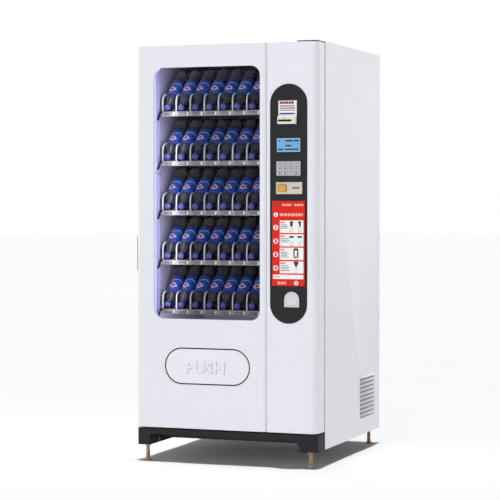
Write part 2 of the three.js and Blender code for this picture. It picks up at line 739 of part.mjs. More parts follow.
function coinMech() {
  const { x0, x1, y0, y1, z0, z1 } = COIN_MECH;
  addPart("coin_mech", box(x0, x1, y0, y1, z0, z1), "blackPaint");
}

// The coin return: an arched cup with a sprung flap across its mouth.
function coinReturn() {
  const { x0, x1, z0, z1, rim, wall, front, depth } = CUP;
  const onFascia = FASCIA.front - GAP;
  const ring = (inset, y0, y1) =>
    extrudeY(arch(x0 + inset, x1 - inset, z0 + inset, z1 - inset), y0, y1, 6);
  const bezel = ring(0, front, onFascia);
  const shell = ring(rim - 1.2 - wall, onFascia - 1, depth);
  const mouth = ring(rim, front - 5, front + 2.1);
  const cavity = ring(rim - 1.2, front + 2, depth - wall);
  addPart("coin_return_cup", cut(join(bezel, shell), mouth, cavity), "lightGrey");
  const flapFront = front + 0.8;
  const flap = ring(rim + CUP_FLAP.play, flapFront, flapFront + CUP_FLAP.thick);
  addPart("coin_return_flap", flap, "lightGrey");
}

// ---- delivery --------------------------------------------------------------------------------------
function deliveryBin() {
  const { x0, x1, y0, y1, z0, z1, doorFrom, doorTo } = BIN;
  const body = cut(
    box(x0, x1, y0, y1, z0, z1),
    box(x0 + SHEET, x1 - SHEET, y0 + SHEET, y1 - SHEET, z0 + SHEET, z1 + 5),
    box(x0 + SHEET, x1 - SHEET, y0 - 5, y0 + 5, doorFrom, doorTo),
  );
  addPart("delivery_bin", body, "blackPaint");
}

function deliveryFlap() {
  const { x0, x1, z0, z1, thick, pinY } = FLAP;
  const r = (z1 - z0) / 2;
  const plate = extrudeY(roundedRect(x0, x1, z0, z1, r), 0, thick, 10);
  const rail = box(x0 + r + 4, x1 - r - 4, thick - 1, pinY, z1 - 14, z1 - 8);
  const barrel = rod("x", 4, x1 - x0 - 2 * r, x0 + r, pinY, z1 - 11, 12);
  addPart("delivery_flap", join(plate, rail, barrel), "whitePaint");
}

function lockHandle() {
  const { y, z, length, width, x0, spindle } = LATCH;
  const x1 = -HALF_WIDTH - 0.6;
  const grip = roundedRect(y - width / 2, y + width / 2, z - length / 2, z + length / 2, 10);
  const body = join(
    extrudeX(grip, x0, x1, 3),
    rod("x", spindle, 24, x1 - 1, y, z, 16),
  );
  addPart("lock_handle", body, "grey");
}

// ---- assembly ----------------------------------------------------------------------------------------
sidePanel("side_panel_left", -1);
sidePanel("side_panel_right", 1);
topPanel();
backPanel();
basePan();
plinth();
feet();
hingePlates();
innerLiner();
for (let i = 0; i < TRAY.count; i += 1) {
  tray(i);
  priceRail(i);
}
airDuct();
evaporator();
compressor();
condenser();
condenserFan();
powerInlet();
doorSkin();
paymentPanel();
doorLiner();
doorGasket();
windowGlass();
windowFrame();
controlFascia();
billAcceptor();
display();
keypad();
coinPlate();
instructionPanel();
coinMech();
coinReturn();
deliveryBin();
deliveryFlap();
lockHandle();

// The footprint runs from the handle to the right louvres, and from the bill mouth to the back.
const footprint = {
  x0: LATCH.x0,
  x1: HALF_WIDTH + LOUVRE.hood - 0.5,
  y0: BILL.mouthFront,
  y1: DEPTH,
};
machine.position.set(
  -(footprint.x0 + footprint.x1) / 2,
  -(footprint.y0 + footprint.y1) / 2,
  0,
);

export default machine;
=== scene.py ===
"""The looks of a snack vending machine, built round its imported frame.

Shapes are drawn in design millimetres: x to the right from the middle of the door, y from the door's
face into the machine, z up from the floor. A piece's mesh is moved to the row frame, in metres, when
it is made.
"""

import json
import math
import random
from collections import namedtuple

import bmesh
import bpy
from mathutils import Matrix, Vector

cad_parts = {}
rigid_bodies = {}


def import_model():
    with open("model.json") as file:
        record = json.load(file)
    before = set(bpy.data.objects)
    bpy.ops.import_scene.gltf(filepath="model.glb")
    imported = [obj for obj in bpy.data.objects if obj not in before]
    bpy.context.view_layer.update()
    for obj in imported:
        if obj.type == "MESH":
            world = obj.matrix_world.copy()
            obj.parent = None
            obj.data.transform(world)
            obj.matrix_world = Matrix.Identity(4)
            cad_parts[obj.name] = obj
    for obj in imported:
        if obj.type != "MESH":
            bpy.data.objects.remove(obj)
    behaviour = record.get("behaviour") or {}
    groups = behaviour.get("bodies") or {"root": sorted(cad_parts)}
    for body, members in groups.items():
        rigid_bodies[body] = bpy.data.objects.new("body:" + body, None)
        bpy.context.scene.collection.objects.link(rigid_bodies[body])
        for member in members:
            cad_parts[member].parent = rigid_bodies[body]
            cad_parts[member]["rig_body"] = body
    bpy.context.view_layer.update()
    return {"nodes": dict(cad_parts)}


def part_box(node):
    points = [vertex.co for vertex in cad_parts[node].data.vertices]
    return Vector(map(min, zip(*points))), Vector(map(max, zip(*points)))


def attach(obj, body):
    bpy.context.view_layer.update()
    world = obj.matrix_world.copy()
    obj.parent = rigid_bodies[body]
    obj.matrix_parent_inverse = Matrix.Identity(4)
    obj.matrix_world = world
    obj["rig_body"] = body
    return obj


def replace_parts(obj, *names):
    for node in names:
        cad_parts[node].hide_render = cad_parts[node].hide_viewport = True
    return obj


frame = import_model()
RANDOM = random.Random(11)

# ---- the design frame, found from the door -----------------------------------------------------
HALF_WIDTH = 445.5
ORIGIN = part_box("door_skin")[0] + Vector((HALF_WIDTH / 1000, 0, 0))
ORIGIN.z = 0
PLACE = Matrix.Translation(ORIGIN) @ Matrix.Scale(0.001, 4)

Span = namedtuple("Span", "x0 x1 y0 y1 z0 z1")


def span(node):
    """The box of a CAD node in design millimetres."""
    low, high = (PLACE.inverted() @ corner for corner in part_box(node))
    return Span(low.x, high.x, low.y, high.y, low.z, high.z)


def body_of(node):
    return frame["nodes"][node]["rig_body"]


# ---- sizes that the boxes of the CAD nodes don't give, in design millimetres ---------------------
SEAM_RADIUS, DOOR_LEFT_RADIUS, DOOR_RIGHT_RADIUS = 20, 20, 35
SHEET = 2.0  # the door skins' metal
WINDOW_RADIUS = 45
FRAME_STEP = 3.6  # from the window's opening out to its frame's
FLAP_GAP = 3.4
BILL_BOTTOM, BILL_MOUTH, BILL_TOP = 1568, 1604, 1674.2  # the bill unit's front; its works are taller
BILL_SLOT_LOW, BILL_SLOT_HIGH = 1578.4, 1588.6

TRAYS, COLUMNS = 5, 8
FLOOR_DROP = 2  # from a price rail's top edge down to its tray's floor
LEAN = 45.0  # a stocked bottle's slope in degrees, from its cap at the front to its base
TILT = 2.6  # and how far it leans over in its column
CAP_LEFT, CAP_BACK, CAP_UP = 12.5, 0.5, 14.8  # where a cap stands in its column
BOTTLE_DEPTH = 98.0  # from one bottle to the next one behind it
BOTTLES_DEEP = 3
COIL_RADIUS, COIL_BAR = 32.6, 1.5

LINER_WALL = 28
UPRIGHT_FRONT, UPRIGHT_BACK, UPRIGHT_DEEP = 128, 196, 7.2
UPRIGHT_LOW, UPRIGHT_PITCH = 352, 12.0
UPRIGHT_SLOTS = (142, 186)

LOUVRES, LOUVRE_PITCH, LOUVRE_LOW = 10, 20.6, 164
LOUVRE_FRONT, LOUVRE_BACK, LOUVRE_HOOD = 669, 906, 3
STEM, STUD = 9.2, 7.3  # a foot's thread, below and inside what it is screwed into
SKID_X = 377
BASE_FLOOR = 99.6  # the underside of the base pan between its rims

CAMERA_SPOT = (3025.4, -7881.4, 1220.0)
CAMERA_YAW, CAMERA_PITCH = 20.23, 1.538  # degrees
LENS = 132.09
HORIZON, ZENITH, BACKDROP = 1.92, 0.14, 1.03  # the surround's brightness, and as the camera sees it
RIGHT_SHADE = 0.5


# ---- materials ---------------------------------------------------------------------------------
class Shader:
    """A material's node tree, with short calls to grow it."""

    def __init__(self, name):
        self.material = bpy.data.materials.new(name)
        self.material.use_nodes = True
        self.nodes = self.material.node_tree.nodes
        self.links = self.material.node_tree.links
        self.shader = self.nodes["Principled BSDF"]
        self.coordinates = self.nodes.new("ShaderNodeTexCoord").outputs["Object"]

    def node(self, kind, inputs=None, **settings):
        node = self.nodes.new("ShaderNode" + kind)
        for key, value in settings.items():
            setattr(node, key, value)
        for key, value in (inputs or {}).items():
            self.feed(node.inputs[key], value)
        return node

    def feed(self, socket, value):
        if isinstance(value, bpy.types.NodeSocket):
            self.links.new(value, socket)
        else:
            socket.default_value = value

    def math(self, operation, a, b=0.0, clamp=False):
        node = self.node("Math", {0: a, 1: b}, operation=operation, use_clamp=clamp)
        return node.outputs[0]

    def mapped(self, scale):
        return self.node("Mapping", {"Vector": self.coordinates, "Scale": scale}).outputs[0]

    def noise(self, scale, detail=3.0, vector=None):
        inputs = {"Vector": vector or self.coordinates, "Scale": scale, "Detail": detail}
        return self.node("TexNoise", inputs).outputs["Fac"]

    def spread(self, value, low, high, start=0.3, stop=0.7):
        inputs = {"Value": value, "From Min": start, "From Max": stop, "To Min": low, "To Max": high}
        return self.node("MapRange", inputs).outputs["Result"]

    def blend(self, factor, a, b):
        node = self.node("Mix", data_type="RGBA")
        colours = [s for s in node.inputs if s.type == "RGBA"]
        self.feed(node.inputs[0], factor)
        self.feed(colours[0], a)
        self.feed(colours[1], b)
        return next(s for s in node.outputs if s.type == "RGBA")

    def bump(self, height, distance, strength=1.0):
        inputs = {"Height": height, "Distance": distance, "Strength": strength}
        self.links.new(self.node("Bump", inputs).outputs[0], self.shader.inputs["Normal"])

    def set(self, **values):
        for key, value in values.items():
            self.feed(self.shader.inputs[key.replace("_", " ")], value)
        return self


def rgb(red, green, blue):
    """A colour given as 0 to 255 on screen, as the linear colour a shader takes."""
    channels = [c / 255 for c in (red, green, blue)]
    linear = [c / 12.92 if c <= 0.04045 else ((c + 0.055) / 1.055) ** 2.4 for c in channels]
    return (*linear, 1.0)


def shade(colour, factor):
    return (*(min(1.0, c * factor) for c in colour[:3]), 1.0)


def coated(name, colour, roughness, mottle=0.03, size=5.0, grain=0.00002, grain_scale=700.0, **shader):
    """Paint or moulded plastic: a soft large-scale variation, uneven gloss and a fine skin."""
    s = Shader(name)
    patch = s.noise(size, 4.0)
    s.set(Base_Color=s.blend(s.spread(patch, 0, 1), shade(colour, 1 - mottle), shade(colour, 1 + mottle)))
    s.set(Roughness=s.spread(s.noise(size * 9, 3.0), roughness * 0.85, roughness * 1.15))
    s.bump(s.noise(grain_scale, 2.0), grain)
    s.set(**shader)
    return s.material


def brushed(name, colour, roughness, along, metallic=1.0):
    """Sheet metal with the fine lines of its brushing or rolling along one axis."""
    s = Shader(name)
    scale = [900.0, 900.0, 900.0]
    scale["xyz".index(along)] = 12.0
    lines = s.noise(1.0, 4.0, s.mapped(scale))
    s.set(Base_Color=s.blend(s.spread(lines, 0, 1), shade(colour, 0.9), shade(colour, 1.08)))
    s.set(Roughness=s.spread(lines, roughness * 0.8, roughness * 1.2), Metallic=metallic)
    s.bump(lines, 0.00003)
    return s.material


def spangled(name, colour):
    """Galvanised sheet: a crystal pattern of slightly different greys."""
    s = Shader(name)
    cells = s.node("TexVoronoi", {"Vector": s.coordinates, "Scale": 55.0}).outputs["Color"]
    grey = s.node("RGBToBW", {"Color": cells}).outputs[0]
    s.set(Base_Color=s.blend(grey, shade(colour, 0.82), shade(colour, 1.1)))
    s.set(Roughness=s.spread(grey, 0.32, 0.55, 0, 1), Metallic=0.85)
    s.bump(s.noise(420.0), 0.00003)
    return s.material


def finned(name, colour, pitch):
    """A heat exchanger's face: thin aluminium fins side by side, the darker bands between them painted shade.
    """
    s = Shader(name)
    wave = s.node(
        "TexWave",
        {"Vector": s.coordinates, "Scale": 0.31 / pitch, "Distortion": 0.6},
        bands_direction="Z",
    ).outputs["Fac"]
    s.set(Base_Color=s.blend(wave, shade(colour, 0.35), shade(colour, 1.1)))
    s.set(Roughness=s.spread(s.noise(60.0), 0.3, 0.5), Metallic=0.8)
    s.bump(wave, 0.0006)
    return s.material


def lit(name, colour, strength, base=None):
    """A glow for the lamp, the screen and the frame edge's painted light: a little uneven along its length.
    """
    s = Shader(name)
    glow = s.spread(s.noise(9.0), 0.93, 1.05)
    s.set(Base_Color=base or colour, Roughness=s.spread(s.noise(80.0), 0.3, 0.42))
    mix = s.node("VectorMath", {0: colour[:3]}, operation="SCALE")
    s.feed(mix.inputs["Scale"], glow)
    s.set(Emission_Color=mix.outputs[0], Emission_Strength=strength)
    s.bump(s.noise(300.0), 0.00002)
    return s.material


def clear_glass():
    """Thin window glass: see-through, with a mirror coat that grows at a glancing angle."""
    s = Shader("window_glass_clear")
    tint = s.blend(s.spread(s.noise(2.0), 0, 1), (0.93, 0.95, 0.97, 1), (0.96, 0.975, 0.985, 1))
    through = s.node("BsdfTransparent", {"Color": tint})
    gloss = s.node("BsdfGlossy", {"Color": (1, 1, 1, 1), "Roughness": 0.02})
    facing = s.node("LayerWeight", {"Blend": 0.12}).outputs["Fresnel"]
    amount = s.spread(facing, 0.0, 0.35, 0, 1)
    mix = s.node("MixShader", {0: amount, 1: through.outputs[0], 2: gloss.outputs[0]})
    s.links.new(mix.outputs[0], s.nodes["Material Output"].inputs["Surface"])
    s.nodes.remove(s.shader)
    return s.material


def drink():
    """Dark drink in clear plastic. The bottle's air is at its raised base, which is greyer."""
    s = Shader("bottle_drink")
    height = s.node("SeparateXYZ", {0: s.coordinates}).outputs["Z"]
    air = s.spread(height, 0, 1, 0.178, 0.2)
    dark = s.blend(s.spread(s.noise(40.0), 0, 1), rgb(46, 42, 52), rgb(78, 73, 88))
    light = s.blend(s.spread(s.noise(70.0), 0, 1), rgb(56, 56, 55), rgb(104, 105, 101))
    s.set(Base_Color=s.blend(air, dark, light), Roughness=s.spread(s.noise(50.0), 0.07, 0.16))
    s.set(Coat_Weight=0.45, Coat_Roughness=0.08, Specular_IOR_Level=0.5)
    s.bump(s.noise(60.0, 1.0), 0.0004)
    return s.material


def label():
    """A bottle's sleeve: blue with a paler band, thin stripes and a plain diamond."""
    s = Shader("bottle_label")
    parts = s.node("SeparateXYZ", {0: s.coordinates})
    around = s.math("ARCTAN2", parts.outputs["X"], parts.outputs["Y"])
    along = parts.outputs["Z"]
    wave = s.math("MULTIPLY", s.math("SINE", s.math("MULTIPLY", around, 2.0)), 0.006)
    high = s.math("ADD", along, wave)
    blue = s.blend(s.spread(s.noise(30.0), 0, 1), rgb(40, 74, 166), rgb(56, 98, 190))
    blue = s.blend(s.spread(high, 0, 1, 0.145, 0.175), blue, rgb(36, 62, 150))
    stripe = s.math("COMPARE", high, 0.146)
    stripe.node.inputs[2].default_value = 0.0026
    blue = s.blend(stripe, blue, rgb(176, 200, 236))
    across = s.math("ABSOLUTE", s.math("MULTIPLY", around, 0.031))
    lengthways = s.math("ABSOLUTE", s.math("SUBTRACT", along, 0.112))
    reach = s.math("ADD", s.math("MULTIPLY", across, 0.8), lengthways)
    blue = s.blend(s.math("LESS_THAN", reach, 0.0178), blue, rgb(240, 232, 244))
    blue = s.blend(s.math("LESS_THAN", reach, 0.0112), blue, rgb(212, 62, 112))
    s.set(Base_Color=blue, Roughness=s.spread(s.noise(90.0), 0.25, 0.4), Coat_Weight=0.3)
    s.bump(s.noise(500.0), 0.00003)
    return s.material


def printed_rail():
    """A price strip: pale card with rows of small dark marks."""
    s = Shader("price_strip_print")
    upright = s.node("Mapping", {"Vector": s.coordinates, "Rotation": (math.pi / 2, 0, 0)})
    marks = s.node(
        "TexBrick",
        {
            "Vector": upright.outputs[0],
            "Color1": rgb(20, 18, 24),
            "Color2": rgb(112, 92, 108),
            "Mortar": rgb(190, 184, 184),
            "Scale": 1.0,
            "Mortar Size": 0.0013,
            "Brick Width": 0.0105,
            "Row Height": 0.0068,
            "Bias": -0.2,
        },
    ).outputs["Color"]
    s.set(Base_Color=marks, Roughness=s.spread(s.noise(120.0), 0.4, 0.55))
    s.bump(s.noise(400.0), 0.00002)
    return s.material


def passivated(name, base, tint):
    """Zinc-plated steel with the uneven yellow and pink bloom of its passivation."""
    s = Shader(name)
    bloom = s.spread(s.noise(70.0, 4.0), 0, 1)
    s.set(Base_Color=s.blend(bloom, base, tint), Metallic=0.45)
    s.set(Roughness=s.spread(s.noise(160.0), 0.3, 0.5))
    s.bump(s.noise(500.0), 0.00003)
    return s.material


WHITE = coated(
    "white_powder_coat", rgb(238, 239, 246), 0.34, mottle=0.008, size=1.4, grain=0.000012, Coat_Weight=0.15
)
# Grey for painted shade on the PUSH letters' right and lower faces.
WHITE_PAINTED_SIDE_SHADE = coated("white_painted_side_shade", rgb(128, 128, 140), 0.4, mottle=0.02, size=30.0)
# Pale grey for a painted drop shadow under the PUSH letters.
WHITE_SHADE = coated("white_painted_letter_shadow", rgb(178, 178, 190), 0.4, mottle=0.02, size=30.0)
TRAY_WHITE = coated("divider_trim_enamel", rgb(226, 224, 226), 0.38, mottle=0.02, size=7.0)
TRAY_GREY = coated("tray_enamel", rgb(62, 62, 66), 0.45, mottle=0.06, size=7.0)
CHARCOAL = coated(
    "charcoal_moulding", rgb(42, 43, 45), 0.45, mottle=0.06, size=8.0, grain=0.00004, Specular_IOR_Level=0.12
)
PLINTH_GREY = coated(
    "plinth_moulding", rgb(43, 44, 47), 0.5, mottle=0.08, size=9.0, grain=0.00005, Specular_IOR_Level=0.1
)
BLACK = coated("black_enamel", rgb(22, 23, 25), 0.4, mottle=0.08, size=10.0, Specular_IOR_Level=0.25)
LINER = coated("liner_moulding", rgb(205, 201, 226), 0.5, mottle=0.02, size=4.0)
FRAME = coated("window_frame_moulding", rgb(198, 194, 228), 0.45, mottle=0.02, size=6.0)
CREAM = coated("cream_moulding", rgb(214, 209, 192), 0.45, mottle=0.03, size=30.0)
BILL_CREAM = coated("bill_unit_moulding", rgb(226, 224, 214), 0.45, mottle=0.03, size=30.0)
ORANGE = coated("orange_moulding", rgb(226, 158, 44), 0.32, mottle=0.05, size=60.0, Coat_Weight=0.3)
RED = coated("red_film", rgb(228, 40, 26), 0.5, mottle=0.03, size=20.0, Specular_IOR_Level=0.15)
PALE_GREY = coated("pale_grey_moulding", rgb(220, 221, 225), 0.42, mottle=0.02, size=25.0)
RAIL = coated("rail_moulding", rgb(176, 168, 170), 0.5, mottle=0.04, size=25.0)
KEY_GREY = coated("key_metal", rgb(188, 188, 194), 0.4, mottle=0.04, size=60.0)
HANDLE = coated("handle_moulding", rgb(126, 129, 132), 0.42, mottle=0.05, size=20.0, grain=0.00005)
SEAL = coated("glazing_seal_skin", rgb(208, 205, 226), 0.6, mottle=0.04, size=15.0)
RUBBER = coated("gasket_rubber_skin", rgb(120, 122, 126), 0.75, mottle=0.05, size=15.0, grain=0.00008)
COMPRESSOR = coated("compressor_enamel", rgb(24, 25, 27), 0.3, mottle=0.1, size=12.0, grain=0.00006)
FAN = coated("fan_moulding", rgb(40, 42, 46), 0.45, mottle=0.06, size=20.0)
PAPER = coated("white_print", rgb(252, 251, 251), 0.55, mottle=0.02, size=40.0)
INK_DARK = coated("dark_ink", rgb(52, 50, 54), 0.5, mottle=0.06, size=90.0)
# Grey for print, and for painted shade in the louvre slots.
GREY_INK_AND_SLOT_SHADE = coated("grey_ink_and_slot_shade", rgb(128, 126, 132), 0.5, mottle=0.05, size=90.0)
INK_RED = coated("red_ink", rgb(226, 66, 60), 0.45, mottle=0.04, size=60.0)
INK_PEACH = coated("peach_ink", rgb(250, 178, 158), 0.5, mottle=0.04, size=60.0)
INK_BLUE = coated("blue_ink", rgb(26, 74, 158), 0.45, mottle=0.05, size=60.0)
INK_PINK = coated("pink_ink", rgb(168, 84, 116), 0.45, mottle=0.1, size=160.0)
INK_MAROON = coated("maroon_ink", rgb(142, 36, 52), 0.5, mottle=0.1, size=120.0)
INK_VIOLET = coated("violet_ink", rgb(104, 84, 150), 0.5, mottle=0.1, size=120.0)
BEZEL = coated("bezel_blue", rgb(166, 206, 232), 0.35, size=30.0)
AMBER = coated("collar_amber", rgb(140, 100, 48), 0.4, size=30.0)
INK_GREEN = coated("green_ink", rgb(76, 168, 120), 0.45, mottle=0.05, size=60.0)
CAP = coated("cap_moulding", rgb(104, 99, 172), 0.5, mottle=0.05, size=70.0)
STEEL = brushed("brushed_steel", rgb(166, 168, 174), 0.36, "x")
COIL_STEEL = brushed("coil_wire", rgb(120, 118, 124), 0.3, "y", 0.9)
GALVANISED = spangled("galvanised_sheet", rgb(176, 179, 184))
FINS = finned("aluminium_fins", rgb(190, 192, 196), 0.003)
COPPER = brushed("copper_pipe", rgb(184, 110, 70), 0.3, "z")
FOOT = passivated("passivated_steel", rgb(194, 170, 132), rgb(162, 138, 118))
# Near-black for painted shadow in slots: the bill mouth's slot and the uprights' slots.
SHADOW_BLACK = coated("slot_shadow", rgb(14, 14, 15), 0.7, mottle=0.1, size=50.0)
SCREEN = lit("screen_glow", rgb(112, 180, 226), 0.32, base=rgb(88, 142, 182))
SCREEN_INK = coated("screen_segments", rgb(8, 22, 52), 0.5, mottle=0.05, size=80.0)
# Glow for painted light on the window frame's left edge and corners.
FRAME_EDGE_GLOW = lit("frame_edge_painted_light", rgb(214, 206, 255), 0.7)
LED_TUBE = lit("cabinet_lamp_glow", rgb(214, 208, 255), 1.0)
GLASS = clear_glass()
DRINK = drink()
LABEL = label()
STRIP_PRINT = printed_rail()


# ---- mesh tools --------------------------------------------------------------------------------
def weld(mesh, flat=None):
    """Merges doubled points and points every face outward; flat, in degrees, also joins coplanar faces."""
    bm = bmesh.new()
    bm.from_mesh(mesh)
    bmesh.ops.remove_doubles(bm, verts=bm.verts, dist=1e-4)
    if flat:
        bmesh.ops.dissolve_limit(bm, angle_limit=math.radians(flat), verts=bm.verts, edges=bm.edges)
    bmesh.ops.recalc_face_normals(bm, faces=bm.faces)
    bm.to_mesh(mesh)
    bm.free()
    return mesh


def evaluated(holder):
    """The mesh of an object with its modifiers applied; the object is removed."""
    bpy.context.scene.collection.objects.link(holder)
    bpy.context.view_layer.update()
    graph = bpy.context.evaluated_depsgraph_get()
    mesh = bpy.data.meshes.new_from_object(holder.evaluated_get(graph))
    bpy.data.objects.remove(holder)
    return mesh


def softened(mesh, width, segments=2, angle=40.0):
    """The mesh with its sharp edges rounded, and flat faces that still shade flat."""
    for polygon in mesh.polygons:
        polygon.use_smooth = True
    holder = bpy.data.objects.new("soften", mesh)
    bevel = holder.modifiers.new("round", "BEVEL")
    bevel.width, bevel.segments = width, segments
    bevel.limit_method, bevel.angle_limit = "ANGLE", math.radians(angle)
    bevel.harden_normals = True
    bevel.use_clamp_overlap = True
    return evaluated(holder)


def carved(mesh, *tools, operation="DIFFERENCE"):
    """The mesh with the tools cut away from it, or with only the part that they share kept."""
    holder = bpy.data.objects.new("carve", mesh)
    cutters = []
    for tool in tools:
        cutter = bpy.data.objects.new("cutter", tool)
        bpy.context.scene.collection.objects.link(cutter)
        cutters.append(cutter)
        step = holder.modifiers.new("cut", "BOOLEAN")
        step.operation, step.solver, step.object = operation, "EXACT", cutter
    result = evaluated(holder)
    for cutter in cutters:
        bpy.data.objects.remove(cutter)
    return weld(result, flat=0.5)


def piece(name, mesh, materials, body, smooth=35.0):
    """Makes a named object of the mesh, in the row frame, riding on a body."""
    mesh.transform(PLACE)
    mesh.materials.clear()
    for material in materials if isinstance(materials, (list, tuple)) else [materials]:
        mesh.materials.append(material)
    if smooth:
        for polygon in mesh.polygons:
            polygon.use_smooth = True
        mesh.set_sharp_from_angle(angle=math.radians(smooth))
    thing = bpy.data.objects.new(name, mesh)
    bpy.context.scene.collection.objects.link(thing)
    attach(thing, body)
    return thing


def refined(node, materials, width=0.6, segments=2, angle=40.0):
    """The CAD node with its edges rounded and its curves shaded smooth, standing for that node."""
    source = frame["nodes"][node]
    mesh = bpy.data.meshes.new(node + "_fine")
    faces = [list(p.vertices) for p in source.data.polygons]
    mesh.from_pydata([PLACE.inverted() @ v.co for v in source.data.vertices], [], faces)
    mesh = softened(weld(mesh, flat=1.0), width, segments, angle)
    thing = piece(node + "_fine", mesh, materials, body_of(node), smooth=None)
    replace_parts(thing, node)
    return thing


def loop_rect(x0, x1, z0, z1, r=0.0, steps=8):
    """A rectangle's outline, anticlockwise seen from the front, with round corners."""
    if r <= 0:
        return [(x0, z0), (x1, z0), (x1, z1), (x0, z1)]
    corners = [(x1 - r, z0 + r, -90), (x1 - r, z1 - r, 0), (x0 + r, z1 - r, 90), (x0 + r, z0 + r, 180)]
    points = []
    for cx, cz, start in corners:
        for i in range(steps + 1):
            a = math.radians(start + 90 * i / steps)
            points.append((cx + r * math.cos(a), cz + r * math.sin(a)))
    return points


def loop_circle(cx, cz, r, steps=24):
    turn = [2 * math.pi * i / steps for i in range(steps)]
    return [(cx + r * math.cos(a), cz + r * math.sin(a)) for a in turn]


def loop_arch(x0, x1, z0, z1, steps=16):
    """A flat bottom with slightly eased corners and a half-round top."""
    r, e = (x1 - x0) / 2, 2.0
    points = [(x0, z0 + e), (x0 + e * 0.3, z0 + e * 0.3), (x0 + e, z0)]
    points += [(x1 - e, z0), (x1 - e * 0.3, z0 + e * 0.3), (x1, z0 + e)]
    for i in range(steps + 1):
        a = math.pi * i / steps
        points.append((x0 + r + r * math.cos(a), z1 - r + r * math.sin(a)))
    return points


def plate(loops, y0, y1, bevel=0.0, steps=2):
    """A plate between y0 and y1 with round edges. The first loop is its outline, the others are holes."""
    curve = bpy.data.curves.new("outline", "CURVE")
    curve.dimensions, curve.fill_mode = "2D", "BOTH"
    for index, loop in enumerate(loops):
        spline = curve.splines.new("POLY")
        spline.points.add(len(loop) - 1)
        ordered = loop if index == 0 else loop[::-1]
        for point, (x, z) in zip(spline.points, ordered):
            point.co = (x, z, 0, 1)
        spline.use_cyclic_u = True
    curve.extrude = (y1 - y0) / 2 - bevel
    curve.bevel_depth, curve.bevel_resolution, curve.offset = bevel, steps, -bevel
    holder = bpy.data.objects.new("outline", curve)
    mesh = bpy.data.meshes.new_from_object(holder)
    bpy.data.objects.remove(holder)
    bpy.data.curves.remove(curve)
    mesh.transform(Matrix.Translation((0, (y0 + y1) / 2, 0)) @ Matrix.Rotation(math.pi / 2, 4, "X"))
    return weld(mesh)


def block(x0, x1, y0, y1, z0, z1, bevel=0.0, segments=2):
    mesh = plate([loop_rect(x0, x1, z0, z1)], y0, y1)
    return softened(mesh, bevel, segments) if bevel else mesh


def merged(*meshes):
    """Several meshes as one, kept apart inside it."""
    bm = bmesh.new()
    for mesh in meshes:
        bm.from_mesh(mesh)
    result = bpy.data.meshes.new("merged")
    bm.to_mesh(result)
    bm.free()
    return result


def moved(mesh, *steps):
    copy = mesh.copy()
    for step in steps:
        copy.transform(step)
    return copy


def shift(x=0.0, y=0.0, z=0.0):
    return Matrix.Translation((x, y, z))


def turn(degrees, axis):
    return Matrix.Rotation(math.radians(degrees), 4, axis)


def wire(points, radius, sides=8):
    """A round bar along points."""
    curve = bpy.data.curves.new("wire", "CURVE")
    curve.dimensions = "3D"
    spline = curve.splines.new("POLY")
    spline.points.add(len(points) - 1)
    for point, co in zip(spline.points, points):
        point.co = (*co, 1)
    curve.bevel_depth, curve.bevel_resolution = radius, max(0, sides // 2 - 2)
    curve.use_fill_caps = True
    holder = bpy.data.objects.new("wire", curve)
    mesh = bpy.data.meshes.new_from_object(holder)
    bpy.data.objects.remove(holder)
    bpy.data.curves.remove(curve)
    return weld(mesh)


def rim(node, outer, inner, y0, y1, bevel, steps):
    """A raised line round a node: how far each edge is grown from it, and its corner radius."""
    loops = [loop_rect(*grown(span(node), growth), radius, steps) for growth, radius in (outer, inner)]
    return plate(loops, y0, y1, bevel)


def lathe(profile, sides=32, shape=None):
    """A body of revolution about z from (radius, height, material) rings, which shape may bend."""
    bm = bmesh.new()
    rings = []
    for r, z, _ in profile:
        if r <= 0:
            rings.append([bm.verts.new((0, 0, z))])
            continue
        ring = []
        for i in range(sides):
            a = 2 * math.pi * i / sides
            ra, za = shape(r, z, a) if shape else (r, z)
            ring.append(bm.verts.new((ra * math.cos(a), ra * math.sin(a), za)))
        rings.append(ring)
    for (low, high), (_, _, material) in zip(zip(rings, rings[1:]), profile[1:]):
        for i in range(sides):
            j = (i + 1) % sides
            corners = [low[i % len(low)], low[j % len(low)], high[j % len(high)], high[i % len(high)]]
            face = bm.faces.new(list(dict.fromkeys(corners)))
            face.material_index = material
    bmesh.ops.recalc_face_normals(bm, faces=bm.faces)
    mesh = bpy.data.meshes.new("lathe")
    bm.to_mesh(mesh)
    bm.free()
    return mesh


def lettering(text, x, z, size, y_front, depth, bevel=0.0, fatten=0.0, stretch=1.0):
    """Generic characters standing on a face that looks to -y, centred at x and z."""
    curve = bpy.data.curves.new("letters", "FONT")
    curve.body, curve.size, curve.align_x, curve.align_y = text, size, "CENTER", "CENTER"
    curve.extrude, curve.bevel_depth, curve.offset = depth / 2 - bevel, bevel, fatten
    curve.bevel_resolution, curve.resolution_u = 2, 6
    holder = bpy.data.objects.new("letters", curve)
    mesh = bpy.data.meshes.new_from_object(holder)
    bpy.data.objects.remove(holder)
    bpy.data.curves.remove(curve)
    mesh.transform(Matrix.Diagonal((stretch, 1, 1, 1)))
    mesh.transform(shift(x, y_front + depth / 2, z) @ turn(90, "X"))
    return weld(mesh)


class Print:
    """Flat shapes of one ink on a face that looks to -y, gathered into one piece."""

    def __init__(self, name, material, face, thick=0.25):
        self.name, self.material, self.face, self.thick = name, material, face, thick
        self.shapes = []

    def add(self, *loops):
        self.shapes.append(plate(loops, self.face - self.thick, self.face + 0.1))

    def bar(self, x0, x1, z0, z1, r=0.0):
        self.add(loop_rect(x0, x1, z0, z1, r, 4))

    def words(self, x0, x1, z, height, size, gap):
        """A line of blocks of uneven width, where text would be."""
        x = x0
        while x < x1 - size * 0.4:
            end = min(x1, x + size * RANDOM.uniform(0.7, 1.3))
            self.bar(x, end, z - height / 2, z + height / 2)
            x = end + gap

    def ink(self, body):
        piece(self.name, merged(*self.shapes), self.material, body)


